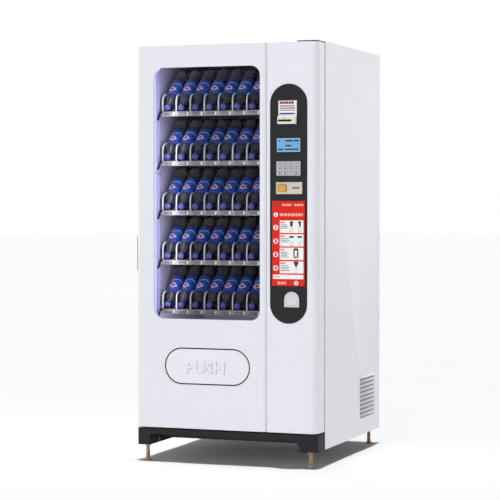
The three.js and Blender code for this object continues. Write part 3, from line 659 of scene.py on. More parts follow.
# ---- sheet metal -------------------------------------------------------------------------------
def plan(x0, x1, back, r0, r1, inset, steps=14):
    """A folded skin's plan in x and y: open at the back, with round front corners."""
    left, right, a, b = x0 + inset, x1 - inset, r0 - inset, r1 - inset
    points = [(left, back)]
    for i in range(steps + 1):
        t = math.radians(180 + 90 * i / steps)
        points.append((left + a + a * math.cos(t), inset + a + a * math.sin(t)))
    for i in range(steps + 1):
        t = math.radians(270 + 90 * i / steps)
        points.append((right - b + b * math.cos(t), inset + b + b * math.sin(t)))
    return points + [(right, back)]


def upright_prism(points, z0, z1):
    """A prism standing on an outline drawn in x and y."""
    mesh = plate([[(x, -y) for x, y in points][::-1]], 0, z1 - z0)
    mesh.transform(shift(z=z0) @ Matrix(((1, 0, 0, 0), (0, 0, -1, 0), (0, 1, 0, 0), (0, 0, 0, 1))))
    return weld(mesh)


def skin(node, corner_left, corner_right, *tools):
    """A door skin: a folded tray with its openings cut, and rolled edges."""
    s = span(node)
    outer = upright_prism(plan(s.x0, s.x1, s.y1, corner_left, corner_right, 0), s.z0, s.z1)
    hollow_plan = plan(s.x0, s.x1, s.y1 + 5, corner_left, corner_right, SHEET)
    hollow = upright_prism(hollow_plan, s.z0 + SHEET, s.z1 - SHEET)
    mesh = softened(carved(outer, hollow, *tools), 0.9, 3)
    thing = piece(node + "_sheet", mesh, WHITE, body_of(node), smooth=None)
    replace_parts(thing, node)


def through(loop):
    return plate([loop], -8, 9)


def grown(s, by):
    return s.x0 - by, s.x1 + by, s.z0 - by, s.z1 + by


def window_opening():
    """The window's opening in the door: the frame's opening, less its step."""
    s = span("window_glass")
    return s.x0 + 20, s.x1 - 20, s.z0 + 20, s.z1 - 20


def door():
    opening = window_opening()
    flap = grown(span("delivery_flap"), FLAP_GAP)
    skin(
        "door_skin",
        DOOR_LEFT_RADIUS,
        SEAM_RADIUS,
        through(loop_rect(*opening, WINDOW_RADIUS, 14)),
        through(loop_rect(*flap, (flap[3] - flap[2]) / 2, 24)),
    )
    fascia = grown(span("control_fascia"), 0.6)
    skin("payment_panel", 4, DOOR_RIGHT_RADIUS, through(loop_rect(*fascia, (fascia[1] - fascia[0]) / 2, 28)))


def window():
    x0, x1, z0, z1 = window_opening()
    s = span("window_frame")
    g = FRAME_STEP
    outline = loop_rect(s.x0, s.x1, s.z0, s.z1, 12, 6)
    opening = loop_rect(x0 - g, x1 + g, z0 - g, z1 + g, WINDOW_RADIUS + g, 14)
    frame_piece = piece("window_frame_moulded", plate([outline, opening], s.y0, s.y1, 0.6), FRAME, "door")
    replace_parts(frame_piece, "window_frame")
    # A glowing strip runs down the frame's left edge and round its corners: painted light on the frame.
    outer = loop_rect(x0 - g + 0.2, x1, z0 - g + 0.2, z1 + g - 0.2, WINDOW_RADIUS + g, 14)
    inner = loop_rect(x0 - g + 2.0, x1 - 2, z0 - g + 2.0, z1 + g - 2.0, WINDOW_RADIUS + g - 2, 14)
    ring = plate([outer, inner], s.y0 + 0.6, s.y1 - 2)
    left_end = block(x0 - 10, x0 + 24, s.y0 - 5, s.y1 + 5, z0 - 10, z1 + 10)
    glow_strip = carved(ring, left_end, operation="INTERSECT")
    piece("frame_edge_painted_light_left", glow_strip, FRAME_EDGE_GLOW, "door")
    glass = frame["nodes"]["window_glass"]
    glass.data.materials.clear()
    glass.data.materials.append(GLASS)
    seal_outer = loop_rect(x0 - 15, x1 + 15, z0 - 15, z1 + 15, 30, 8)
    seal_inner = loop_rect(x0 - 1.5, x1 + 1.5, z0 - 1.5, z1 + 1.5, WINDOW_RADIUS + 1.5, 14)
    piece("glazing_seal", plate([seal_outer, seal_inner], 2.2, 4.8, 0.4), SEAL, "door")


def push_flap():
    s = span("delivery_flap")
    r = (s.z1 - s.z0) / 2
    thick = 4.0
    edge = 2.4
    outline = loop_rect(s.x0 + edge, s.x1 - edge, s.z0 + edge, s.z1 - edge, r - edge, 24)
    face = plate([outline], s.y0, s.y0 + thick, 1.1, 3)
    rail = block(s.x0 + r + 4, s.x1 - r - 4, thick - 0.4, s.y1 - 4, s.z1 - 14, s.z1 - 8, 0.6)
    y, z = s.y1 - 4, s.z1 - 11
    length = s.x1 - s.x0 - 2 * r
    profile = [(0, 0, 0), (3.6, 0, 0), (4, 0.4, 0), (4, length - 0.4, 0), (3.6, length, 0), (0, length, 0)]
    barrel = moved(lathe(profile, 20), turn(90, "Y"), shift(s.x0 + r, y, z))
    rib = rim("delivery_flap", (-16, r - 16), (-19, r - 19), thick - 0.3, thick + 4, 0.3, 20)
    flap = piece("delivery_flap_face", merged(face, rail, barrel, rib), WHITE, "flap")
    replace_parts(flap, "delivery_flap")
    lip = rim("delivery_flap", (3, r + 3), (-4, r - 4), s.y0 + 0.9, s.y0 + 2.9, 0.3, 24)
    piece("delivery_flap_lip", lip, BLACK, "flap")
    middle_x, middle_z = (s.x0 + s.x1) / 2, (s.z0 + s.z1) / 2
    letters = lettering("PUSH", middle_x - 11, middle_z - 7, 71, s.y0 - 5.6, 6.4, 2.0, 1.7, 1.17)
    # Faces turned right or downward take the grey: painted shade on the letters' sides.
    for polygon in letters.polygons:
        polygon.material_index = 1 if polygon.normal.x > 0.35 or polygon.normal.z < -0.35 else 0
    piece("push_letters", letters, (WHITE, WHITE_PAINTED_SIDE_SHADE), "flap", smooth=40)
    # A fattened pale grey copy of the letters, set down and to the right: a painted drop shadow.
    base = lettering("PUSH", middle_x - 9.4, middle_z - 9.4, 71, s.y0 - 0.5, 0.8, 0.2, 3.4, 1.17)
    piece("push_letter_painted_shadow", base, WHITE_SHADE, "flap", smooth=40)


# ---- payment column ----------------------------------------------------------------------------
def fascia():
    s = span("control_fascia")
    outline = loop_rect(s.x0, s.x1, s.z0, s.z1, (s.x1 - s.x0) / 2, 32)
    holes = []
    for node, by in (("display", 0.4), ("keypad_plate", 0.4), ("coin_plate", 0.4)):
        holes.append(loop_rect(*grown(span(node), by), 1.0, 3))
    bill = span("bill_acceptor")
    holes.append(loop_rect(bill.x0 + 6.1, bill.x1 - 6.1, BILL_BOTTOM + 6.1, BILL_TOP - 6.1, 1.0, 3))
    cup = span("coin_return_cup")
    holes.append(loop_arch(*grown(cup, -4.4)))
    mesh = plate([outline, *holes], s.y0, s.y1, 0.5, 2)
    thing = piece("control_fascia_moulded", mesh, CHARCOAL, "door")
    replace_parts(thing, "control_fascia")


def bill_unit():
    refined("bill_acceptor", BILL_CREAM, 0.8, 3)
    s = span("bill_acceptor")
    x0, x1 = s.x0 + 1.4, s.x1 - 1.4
    top, mouth = BILL_TOP, BILL_MOUTH
    face = -4.8
    card = Print("bill_card", PAPER, face, 0.3)
    card.bar(x0, x1, mouth + 2.5, top - 1.5, 2)
    card.ink("door")
    rows = (
        ("bill_card_title", INK_MAROON, ((top - 9.5, 11.5, 12),)),
        ("bill_card_row", INK_PINK, ((top - 24, 7.0, 8), (top - 44, 5.4, 7))),
        ("bill_card_tint", INK_VIOLET, ((top - 34.5, 6.4, 8),)),
    )
    for name, ink, lines in rows:
        print_ = Print(name, ink, face - 0.3, 0.15)
        for z, height, size in lines:
            print_.words(x0 + 5, x1 - 6, z, height, size, 1.4)
        print_.ink("door")
    band = Print("bill_card_band", INK_BLUE, face - 0.3, 0.18)
    band.bar(x0 + 4, x1 - 14, mouth + 7, mouth + 15)
    band.ink("door")
    end = Print("bill_card_mark", INK_GREEN, face - 0.3, 0.2)
    end.bar(x1 - 13, x1 - 5, mouth + 7, mouth + 15)
    end.ink("door")
    # A near-black bar in the bill mouth: painted shadow in the slot.
    slot = Print("bill_slot_shadow", SHADOW_BLACK, s.y0 + 1.2, 0.6)
    slot.bar(x0 + 2.4, x1 - 18.6, BILL_SLOT_LOW, BILL_SLOT_HIGH, 1.0)
    slot.ink("door")
    arrows = Print("bill_mouth_mark", GREY_INK_AND_SLOT_SHADE, s.y0, 0.15)
    arrows.bar(x0 + 24, x0 + 42, BILL_SLOT_HIGH + 4.9, BILL_SLOT_HIGH + 7.4)
    arrows.ink("door")
    light = Print("bill_mouth_lamp", INK_GREEN, s.y0, 0.4)
    light.add(loop_circle(x1 - 6, BILL_SLOT_LOW + 4.6, 2.0, 16))
    light.ink("door")


def lcd():
    s = span("display")
    x0, x1, z0, z1 = s.x0, s.x1, s.z0, s.z1
    thing = refined("display", SCREEN, 0.5)
    bezel = rim("display", (0.2, 1), (-2, 1), s.y0 - 0.6, s.y0 + 0.2, 0.2, 3)
    piece("display_bezel", bezel, BEZEL, "door")
    segments = Print("display_segments", SCREEN_INK, s.y0, 0.15)
    segments.add(loop_circle(x0 + 9, z1 - 11, 3.0, 16))
    segments.words(x0 + 40, x0 + 76, z1 - 11, 8.4, 5.8, 0.7)
    segments.words(x0 + 82, x1 - 5, z1 - 11, 8.4, 5.8, 0.7)
    segments.words(x0 + 40, x0 + 70, z0 + 28, 8.0, 5.8, 0.7)
    segments.words(x0 + 6, x0 + 32, z0 + 11, 7.4, 5.6, 0.7)
    segments.words(x0 + 40, x1 - 6, z0 + 11, 7.4, 5.6, 0.7)
    segments.ink("door")


KEY_MARKS = ["1", "2", "3", "*", "4", "5", "6", "0", "7", "8", "9", "#"]


def keypad():
    s = span("keypad_plate")
    holes = []
    for number in range(1, 13):
        holes.append(loop_rect(*grown(span(f"key_{number}"), 0.6), 3.4, 4))
    front = plate([loop_rect(s.x0, s.x1, s.z0, s.z1, 3, 6), *holes], s.y0, s.y0 + 4, 0.5)
    back = plate([loop_rect(s.x0 + 1, s.x1 - 1, s.z0 + 1, s.z1 - 1, 3, 4)], s.y0 + 9.6, s.y1, 0.3)
    plate_piece = piece("keypad_plate_pressed", merged(front, back), STEEL, "door")
    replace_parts(plate_piece, "keypad_plate")
    for number, mark in enumerate(KEY_MARKS, 1):
        k = span(f"key_{number}")
        body = f"keypad_key_{number}"
        cap = plate([loop_rect(k.x0, k.x1, k.z0, k.z1, 3, 6)], k.y0, k.y1, 0.8, 3)
        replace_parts(piece(f"key_{number}_cap", cap, KEY_GREY, body), f"key_{number}")
        middle = ((k.x0 + k.x1) / 2, (k.z0 + k.z1) / 2)
        sign = lettering(mark, *middle, 12, k.y0 - 0.15, 0.3, 0, 0.6)
        piece(f"key_{number}_mark", sign, INK_DARK, body)


def coins():
    refined("coin_plate", CREAM, 0.7, 3)
    b = span("coin_button")
    cap = plate([loop_rect(b.x0, b.x1, b.z0, b.z1, 4, 8)], b.y0, b.y1, 2.2, 5)
    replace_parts(piece("coin_button_cap", cap, ORANGE, "coin_push"), "coin_button")
    p = span("coin_plate")
    collar = rim("coin_button", (1.8, 5), (0.8, 4.6), p.y0 - 0.6, p.y0 + 0.2, 0.25, 6)
    piece("coin_button_collar", collar, AMBER, "door")
    edge = rim("coin_plate", (-0.6, 2.6), (-2.8, 1.4), p.y0 - 0.7, p.y0 + 0.2, 0.3, 4)
    piece("coin_plate_rim", edge, CREAM, "door")
    marks = Print("coin_slot_marks", INK_DARK, p.y0, 0.2)
    marks.words(324, 364, 1282.6, 1.6, 4, 1.2)
    marks.words(324, 364, 1273.6, 1.4, 4, 1.2)
    marks.ink("door")


def hand(print_, x, z, size):
    """A plain hand outline pointing up."""
    w = size
    outline = [(x - 0.42 * w, z), (x + 0.34 * w, z), (x + 0.42 * w, z + 0.9 * w), (x + 0.3 * w, z + 1.5 * w),
               (x + 0.12 * w, z + 1.55 * w), (x - 0.1 * w, z + 1.4 * w), (x - 0.45 * w, z + 0.8 * w)]
    inner = [(x + (px - x) * 0.8, z + 0.7 * w + (pz - z - 0.7 * w) * 0.84) for px, pz in outline]
    print_.add(outline, inner)


ARROW = [(-2.4, -6), (2.4, -6), (2.4, 1), (5.6, 1), (0, 7), (-5.6, 1), (-2.4, 1)]


def instructions():
    """The red film: numbered steps, each with a card of plain bars and simple pictures."""
    s = span("instruction_panel")
    width, height = s.x1 - s.x0, s.z1 - s.z0
    film = plate([loop_rect(s.x0, s.x1, s.z0, s.z1, 2, 4)], s.y0, s.y1, 0.3)
    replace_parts(piece("instruction_film", film, RED, "door"), "instruction_panel")

    def at(u, v):
        return s.x0 + u * width, s.z1 - v * height

    cards = Print("instruction_cards", PAPER, s.y0, 0.2)
    circles = Print("instruction_circles", PAPER, s.y0, 0.22)
    titles = Print("instruction_titles", INK_RED, s.y0 - 0.2, 0.12)
    lines = Print("instruction_lines", GREY_INK_AND_SLOT_SHADE, s.y0 - 0.2, 0.12)
    dark = Print("instruction_pictures", INK_DARK, s.y0 - 0.2, 0.14)
    soft = Print("instruction_outlines", GREY_INK_AND_SLOT_SHADE, s.y0 - 0.2, 0.13)
    peach = Print("instruction_headings", INK_PEACH, s.y0, 0.15)
    maroon = Print("instruction_header_mark", INK_MAROON, s.y0, 0.14)

    x, z = at(0.07, 0.047)
    maroon.words(x, at(0.22, 0)[0], z, 10, 8, 2)
    for u0, u1 in ((0.31, 0.6), (0.68, 0.96)):
        peach.words(at(u0, 0)[0], at(u1, 0)[0], z, 9.5, 11, 2.2)
    peach.words(at(0.245, 0)[0], at(0.95, 0)[0], at(0, 0.163)[1], 12.5, 14, 3.2)

    steps = ((0.230, 0.376), (0.392, 0.534), (0.550, 0.693), (0.710, 0.851))
    for number, (v0, v1) in enumerate(steps, 1):
        x0, top = at(0.24, v0)
        x1, low = at(0.965, v1)
        cards.bar(x0, x1, low, top, 2)
        titles.words(x0 + 4, x0 + 26, top - 9, 7.5, 9, 3)
        right = x0 + (34 if number in (1, 3) else 40)
        for k in range(4 if number > 2 else 3):
            lines.words(x0 + 4, right + (8 if k % 2 else 2), top - 20 - 7.5 * k, 3.8, 6, 1.0)
        cx, cz = at(0.115, (v0 + v1) / 2 + 0.01)
        circles.add(loop_circle(cx, cz, 12.0, 28))
        sign = lettering(str(number), cx, cz, 19.5, s.y0 - 0.45, 0.5, 0, 1.5, 1.1)
        piece(f"step_number_{number}", sign, INK_MAROON, "door")
    for u in (0.60, 0.85):
        px, pz = at(u, 0.368)
        hand(soft, px, pz, 15)
        dark.bar(px - 8, px + 8, pz + 40, pz + 50, 4)
        dark.bar(px - 7 if u < 0.8 else px - 3, px + 6, pz + 26, pz + 41, 3)
        px, pz = at(u, 0.528)
        hand(soft, px, pz, 14)
        dark.bar(px - 11, px + 11, pz + 36, pz + 45, 1.5)
    px, pz = at(0.74, 0.69)
    hand(soft, px + 4, pz, 18)
    outside = loop_rect(px - 13, px + 11, pz + 8, pz + 52, 8, 6)
    inside = loop_rect(px - 7, px + 5, pz + 13, pz + 42, 3, 4)
    dark.add(outside, inside)
    px, pz = at(0.74, 0.848)
    hand(soft, px, pz, 15)
    dark.add([(px - 13, pz + 48), (px, pz + 24), (px + 13, pz + 48), (px + 8, pz + 53), (px - 8, pz + 53)])
    x0, top = at(0.03, 0.868)
    x1, low = at(0.965, 0.919)
    cards.bar(x0, x1, low, top, 1.5)
    titles.words(x0 + 8, x0 + 34, (low + top) / 2, 4.2, 7, 1.2)
    peach.words(at(0.175, 0)[0], at(0.48, 0)[0], at(0, 0.966)[1], 12, 12, 3)
    for u, v in ((0.115, 0.163), (0.745, 0.966)):
        cx, cz = at(u, v)
        circles.add(loop_circle(cx, cz, 10.2, 28))
        titles.add([(cx + x, cz + z) for x, z in ARROW])
    for layer in (cards, circles, titles, lines, dark, soft, peach, maroon):
        layer.ink("door")


def coin_return():
    refined("coin_return_cup", PALE_GREY, 0.9, 3)
    f = span("coin_return_flap")
    mesh = plate([loop_arch(f.x0, f.x1, f.z0, f.z1, 24)], f.y0, f.y1, 0.5)
    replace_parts(piece("coin_return_flap_face", mesh, PALE_GREY, "coin_flap"), "coin_return_flap")


# ---- shelves -----------------------------------------------------------------------------------
def trays():
    for number in range(1, TRAYS + 1):
        refined(f"tray_{number}", TRAY_GREY, 0.45, 2)
        divider_trims(number)
        refined(f"price_rail_{number}", RAIL, 0.5, 2)
        rail_details(number)


def divider_trims(number):
    """White edge trims on the dividers: up the front, then swept back along the top."""
    s = span(f"tray_{number}")
    x0, pitch = column_pitch()
    front, floor, top = s.y0 + 3, span(f"price_rail_{number}").z1 - FLOOR_DROP, s.z1
    wide, deep = 6.0, 7.0
    path = [(front, floor + 1), (front, floor + 30), (front, floor + 52)]
    for i in range(1, 11):
        t = i / 10
        y = front + 2 * t * (1 - t) * 4 + t * t * 48
        path.append((y, (floor + 52) * (1 - t) ** 2 + top * (2 * t - t * t)))
    path.append((s.y0 + 120, top))
    trims = []
    for column in range(COLUMNS + 1):
        inset = 1 if column == 0 else -1 if column == COLUMNS else 0
        x = x0 + pitch * column + inset
        trims.append(ribbon(path, x - wide / 2, x + wide / 2, deep))
    piece(f"divider_trims_{number}", softened(merged(*trims), 1.1, 3, 50), TRAY_WHITE, "cabinet", smooth=None)


def ribbon(path, xa, xb, deep):
    """A strip between xa and xb along a path in y and z, from just outside it to deep inside it."""
    bm = bmesh.new()
    proud = 0.8
    rows = []
    for i, (y, z) in enumerate(path):
        before, after = path[max(0, i - 1)], path[min(len(path) - 1, i + 1)]
        along = Vector((after[0] - before[0], after[1] - before[1])).normalized()
        inner = (y + along.y * deep, z - along.x * deep)
        outer = (y - proud * along.y, z + proud * along.x)
        section = ((xa, outer), (xb, outer), (xb, inner), (xa, inner))
        rows.append([bm.verts.new((x, *spot)) for x, spot in section])
    for low, high in zip(rows, rows[1:]):
        for k in range(4):
            bm.faces.new((low[k], low[(k + 1) % 4], high[(k + 1) % 4], high[k]))
    bm.faces.new(rows[0])
    bm.faces.new(rows[-1])
    bmesh.ops.recalc_face_normals(bm, faces=bm.faces)
    mesh = bpy.data.meshes.new("ribbon")
    bm.to_mesh(mesh)
    bm.free()
    return mesh


def column_pitch():
    s = span("price_rail_1")
    return s.x0, (s.x1 - s.x0) / COLUMNS


def rail_details(number):
    s = span(f"price_rail_{number}")
    x0, pitch = column_pitch()
    middle = (s.z0 + s.z1) / 2
    cards = []
    for c in range(COLUMNS):
        left, right = x0 + pitch * c + 15, x0 + pitch * (c + 1) - 17
        cards.append(block(left, right, s.y0 + 0.3, s.y0 + 1.3, middle - 7.2, middle + 7.2, 0.3))
    piece(f"price_cards_{number}", merged(*cards), STRIP_PRINT, "cabinet")
    clips = []
    for c in range(COLUMNS):
        x = x0 + pitch * (c + 1) - 9
        tab = plate([[(x - 5, middle - 8), (x + 2, middle - 8), (x + 5, middle + 8), (x - 2, middle + 8)]],
                    s.y0 - 1.2, s.y0 + 1.2, 0.5)
        clips.append(tab)
    piece(f"rail_clips_{number}", merged(*clips), PAPER, "cabinet")
    # The black catch at the tray's left end hooks behind the upright.
    reach = [(s.x0 - 4, s.y0 + 1, s.z0 + 24), (s.x0 - 7, s.y0, s.z0 + 14), (s.x0 - 10, s.y0 - 1, s.z0 + 3),
             (s.x0 - 13, s.y0 - 3, s.z0 - 8), (s.x0 - 16, s.y0 - 5, s.z0 - 19)]
    arm = wire(reach, 4.6, 12)
    stub = block(s.x0 - 10, s.x0 + 6, s.y0 - 1, s.y0 + 8, s.z0 + 14, s.z0 + 24, 1.5)
    piece(f"tray_catch_{number}", merged(arm, stub), BLACK, "cabinet")


def bottle_mesh():
    """A drink bottle standing on its cap, in metres: cap, neck ring, shoulder, sleeve and a petal base."""
    pet, sleeve, cap = 0, 1, 2
    profile = [
        (0, 0, cap), (12.5, 0, cap), (13.8, 0.6, cap), (14.3, 1.8, cap), (14.4, 12.5, cap), (14.7, 13.0, cap),
        (14.7, 15.5, cap), (12.6, 15.6, pet), (12.6, 18.0, pet), (16.2, 18.6, pet), (16.2, 20.2, pet),
        (13.0, 21.0, pet), (12.8, 25.0, pet), (14.6, 30.0, pet), (19.0, 38.0, pet), (23.6, 47.0, pet),
        (27.0, 57.0, pet), (29.2, 67.0, pet), (30.0, 75.0, pet), (29.8, 78.0, pet), (29.3, 80.0, pet),
        (29.9, 81.0, sleeve), (30.2, 82.5, sleeve), (30.2, 130.0, sleeve), (30.2, 174.5, sleeve),
        (29.9, 176.0, sleeve), (29.3, 177.0, pet), (29.8, 180.0, pet), (30.2, 185.0, pet), (30.2, 206.0, pet),
        (29.6, 210.0, pet), (30.0, 214.0, pet), (29.8, 232.0, pet), (28.6, 243.0, pet), (25.6, 252.0, pet),
        (21.0, 258.0, pet), (15.4, 260.0, pet), (8.4, 256.0, pet), (0, 253.0, pet),
    ]

    def shape(r, z, angle):
        if 1.0 < z < 13.0:
            return r + 0.22 * math.cos(24 * angle), z
        if z > 236 and r > 5:
            petal = 0.5 - 0.5 * math.cos(5 * angle)
            depth = min(1.0, (z - 236) / 18)
            return r * (1 - 0.08 * petal * depth), z - 7.0 * petal * depth * (r / 30)
        return r, z

    mesh = lathe(profile, 48, shape)
    mesh.transform(Matrix.Scale(0.001, 4))
    for material in (DRINK, LABEL, CAP):
        mesh.materials.append(material)
    for polygon in mesh.polygons:
        polygon.use_smooth = True
    mesh.set_sharp_from_angle(angle=math.radians(50))
    mesh.name = "bottle"
    return mesh


def stock():
    mesh = bottle_mesh()
    x0, pitch = column_pitch()
    lean = Matrix.Rotation(math.radians(-(90 - LEAN)), 4, "X") @ Matrix.Rotation(math.radians(TILT), 4, "Y")
    for number in range(1, TRAYS + 1):
        s = span(f"tray_{number}")
        floor = span(f"price_rail_{number}").z1 - FLOOR_DROP
        for column in range(COLUMNS):
            for row in range(BOTTLES_DEEP):
                x = x0 + pitch * (column + 0.5) - CAP_LEFT + RANDOM.uniform(-0.6, 0.6)
                y = s.y0 + CAP_BACK + BOTTLE_DEPTH * row + RANDOM.uniform(-2.0, 2.0)
                bottle = bpy.data.objects.new(f"bottle_{number}_{column + 1}_{row + 1}", mesh)
                bpy.context.scene.collection.objects.link(bottle)
                spin = Matrix.Rotation(math.radians(180 + RANDOM.uniform(-9, 9)), 4, "Z")
                spot = PLACE @ Vector((x, y, floor + CAP_UP))
                bottle.matrix_world = Matrix.Translation(spot) @ lean @ spin
                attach(bottle, "cabinet")


def coils():
    """A spiral for each column, and its motor behind the tray."""
    x0, pitch = column_pitch()
    can = [(0, 0, 0), (14, 0, 0), (15, 1, 0), (15, 11, 0), (14, 12, 0), (0, 12, 0)]
    for number in range(1, TRAYS + 1):
        s = span(f"tray_{number}")
        floor = span(f"price_rail_{number}").z1 - FLOOR_DROP
        start, stop = s.y0 + 8, s.y1 - 20
        steps = int((stop - start) / BOTTLE_DEPTH * 30)
        motors = []
        for column in range(COLUMNS):
            x, z = x0 + pitch * (column + 0.5), floor + COIL_RADIUS + COIL_BAR + 0.6
            points = []
            for i in range(steps + 1):
                a = 2 * math.pi * i / 30 - math.pi / 2
                across, up = COIL_RADIUS * math.cos(a), COIL_RADIUS * math.sin(a)
                points.append((x + across, start + BOTTLE_DEPTH * i / 30, z + up))
            piece(f"coil_{number}_{column + 1}", wire(points, COIL_BAR, 8), COIL_STEEL, "cabinet")
            z = floor + COIL_RADIUS
            motors.append(block(x - 22, x + 22, s.y1 + 2, s.y1 + 30, z - 26, z + 26, 2.5))
            motors.append(moved(lathe(can, 24), turn(-90, "X"), shift(x, s.y1 + 30, z)))
        piece(f"motor_bank_{number}", merged(*motors), CREAM, "cabinet")


def interior():
    refined("inner_liner", LINER, 3.0, 3)
    s = span("inner_liner")
    wall_left, wall_right = s.x0 + LINER_WALL, s.x1 - LINER_WALL
    bottom, top = UPRIGHT_LOW, s.z1 - 34
    pitch = UPRIGHT_PITCH
    cells = int((top - bottom) / pitch)
    slots = [loop_rect(y - 5, y + 5, -3.4, 3.4, 1.6, 2) for y in UPRIGHT_SLOTS]
    cell = plate([loop_rect(UPRIGHT_FRONT, UPRIGHT_BACK, -pitch / 2, pitch / 2), *slots], -0.8, 0.8)
    stand = Matrix(((0, 1, 0, 0), (1, 0, 0, 0), (0, 0, 1, 0), (0, 0, 0, 1)))
    for name, x, side in (("left", wall_left, 1), ("right", wall_right, -1)):
        face = x + side * UPRIGHT_DEEP
        parts = [moved(cell, stand, shift(x=face, z=bottom + pitch * (i + 0.5))) for i in range(cells)]
        high = bottom + pitch * cells
        for y in (UPRIGHT_FRONT, UPRIGHT_BACK - 1.5):
            parts.append(block(min(x, face), max(x, face), y, y + 1.5, bottom, high, 0.3))
        piece(f"upright_{name}", weld(merged(*parts)), FRAME, "cabinet")
        # A near-black sheet just behind each upright: painted shadow seen through its slots.
        back = sorted((x + side * 0.3, x + side * 1.3))
        shade = block(*back, UPRIGHT_FRONT + 2, UPRIGHT_BACK - 2, bottom + 2, high - 2, 0.3)
        piece(f"upright_{name}_back", shade, SHADOW_BLACK, "cabinet")
    lamp = block(wall_left + 3, wall_left + 11, 122, 127, bottom + 40, top - 20, 1.6)
    piece("cabinet_lamp_left", lamp, LED_TUBE, "cabinet")
    refined("air_duct", LINER, 0.4)
    frame["nodes"]["evaporator"].data.materials.clear()
    frame["nodes"]["evaporator"].data.materials.append(FINS)


# ---- cabinet -----------------------------------------------------------------------------------
def screw_heads(name, spots, body, radius=4.0, toward="y", proud=1.6):
    """Pan-head screws with a cross recess, on a face that looks to +y or +z."""
    stand = {"y": turn(-90, "X"), "z": turn(0, "X")}[toward]
    head = lathe([(0, -0.4, 0), (radius, -0.4, 0), (radius, proud * 0.3, 0), (radius * 0.82, proud * 0.8, 0),
                  (radius * 0.5, proud, 0), (0, proud, 0)], 20)
    arm, deep = radius * 0.62, proud * 0.55
    slot = block(-arm, arm, -0.6, 0.6, 0, 3)
    recess = [moved(slot, turn(90 * k, "Z"), shift(z=proud - deep)) for k in (0, 1)]
    one = carved(head, *recess)
    placed = [moved(one, stand, Matrix.Translation(spot)) for spot in spots]
    piece(name, merged(*placed), STEEL, body)


def cabinet():
    for node in ("side_panel_left", "side_panel_right", "top_panel"):
        refined(node, WHITE, 0.7, 3)
    for side in (-1, 1):
        louvres(side)
    refined("back_panel", GALVANISED, 0.4)
    refined("base_pan", BLACK, 1.0, 3)
    refined("plinth", PLINTH_GREY, 3.2, 5, angle=50)
    for node in ("hinge_plate_top", "hinge_plate_bottom"):
        refined(node, BLACK, 0.5, 2)
    pan, low = span("base_pan"), span("plinth").z0 + 1
    for name, side in (("left", -1), ("right", 1)):
        web, lip = side * SKID_X, side * (SKID_X + 9)
        parts = [block(*sorted((web, web + side * 2)), pan.y0 - 2, pan.y1 - 60, low, BASE_FLOOR, 0.4)]
        for z in (low, BASE_FLOOR - 2):
            parts.append(block(*sorted((web, lip)), pan.y0 - 2, pan.y1 - 60, z, z + 2, 0.4))
        piece(f"skid_rail_{name}", merged(*parts), BLACK, "cabinet")
    back = span("back_panel")
    columns = (back.x0 + 12, -150, 150, back.x1 - 12)
    rows = (back.z0 + 14, 660, 1250, back.z1 - 14)
    spots = [(x, back.y1 - 1.4, z) for x in columns for z in rows]
    screw_heads("back_screws", spots, "cabinet", toward="y", proud=1.4)
    top = span("hinge_plate_top")
    spots = [(x, y, top.z1) for x in (372, 402) for y in (190, 232)]
    screw_heads("hinge_screws", spots, "cabinet", 5.0, "z", proud=1.8)


def louvres(side):
    """Each louvre's rolled blade, over grey strips beneath it that paint the shade in its slot."""
    face = span("side_panel_right").x1 - LOUVRE_HOOD
    blades, slot_shades = [], []
    for i in range(LOUVRES):
        z = LOUVRE_LOW + LOUVRE_PITCH * i
        blade = [(face - 0.2, z + 15.0), (face + 1.6, z + 14.0), (face + 7.0, z + 5.6)]
        blade += [(face + 7.2, z + 4.4), (face + 6.2, z + 4.2), (face + 1.0, z + 12.0)]
        blade.append((face - 0.2, z + 12.6))
        blades.append(plate([blade], LOUVRE_FRONT, LOUVRE_BACK, 0.3))
        # Grey strips in and beside each slot: painted shade under the blade.
        slot_shades.append(block(face - 0.3, face + 1.2, LOUVRE_FRONT + 1, LOUVRE_BACK - 1, z - 5.8, z + 0.9, 0.1))
        slot_shades.append(block(face, face + 3.4, LOUVRE_FRONT + 1, LOUVRE_BACK - 1, z + 0.7, z + 5.0, 0.1))
    name = "right" if side > 0 else "left"
    mirror = Matrix.Scale(-1, 4, (1, 0, 0)) if side < 0 else Matrix.Identity(4)
    for kind, parts, material in (("blades", blades, WHITE), ("slots", slot_shades, GREY_INK_AND_SLOT_SHADE)):
        mesh = merged(*parts)
        mesh.transform(mirror)
        if side < 0:
            mesh.flip_normals()
        piece(f"louvre_{kind}_{name}", mesh, material, "cabinet")


def foot(node):
    """A levelling foot: threaded stem, lock nut and a spun pad."""
    s = span(node)
    x, y = (s.x0 + s.x1) / 2, (s.y0 + s.y1) / 2
    pitch, rise = 2.6, 0.6
    start, stop = 12.0, s.z1 - 2
    rings = int((stop - start) / pitch * 5)
    profile = [(0, 0, 0), (18.6, 0, 0), (19.8, 0.8, 0), (20, 1.6, 0), (20, 2.8, 0), (19.0, 3.8, 0)]
    profile += [(12.4, 5.2, 0), (11.2, 7.4, 0), (10.8, 11, 0)]
    under = span("plinth").z0 if "front" in node else span("base_pan").z0
    rods = [start + (stop - start) * i / rings for i in range(rings + 1)]
    profile += [(STEM if z < under - 1.5 else STUD, z, 0) for z in rods]
    profile += [(STUD - 1.5, s.z1, 0), (0, s.z1, 0)]

    def thread(r, z, angle):
        if start < z < stop:
            phase = (z / pitch + angle / (2 * math.pi)) % 1.0
            return r - rise * abs(2 * phase - 1) * 2 + rise * 0.5, z
        return r, z

    stem = lathe(profile, 24, thread)
    stem.transform(shift(x, y))
    thing = piece(node + "_turned", stem, FOOT, node + "_screw", smooth=40)
    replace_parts(thing, node)
    # The lock nut is against the underside of what the foot is screwed into.
    angles = [math.radians(60 * k + 15) for k in range(6)]
    hexagon = [(12.6 * math.cos(a), 12.6 * math.sin(a)) for a in angles]
    bore = loop_circle(0, 0, 9.0, 24)
    nut = plate([hexagon, bore], -3.0, 3.0, 0.7, 2)
    nut.transform(shift(x, y, under - 3.8) @ turn(90, "X"))
    piece(node + "_nut", nut, FOOT, node + "_screw")


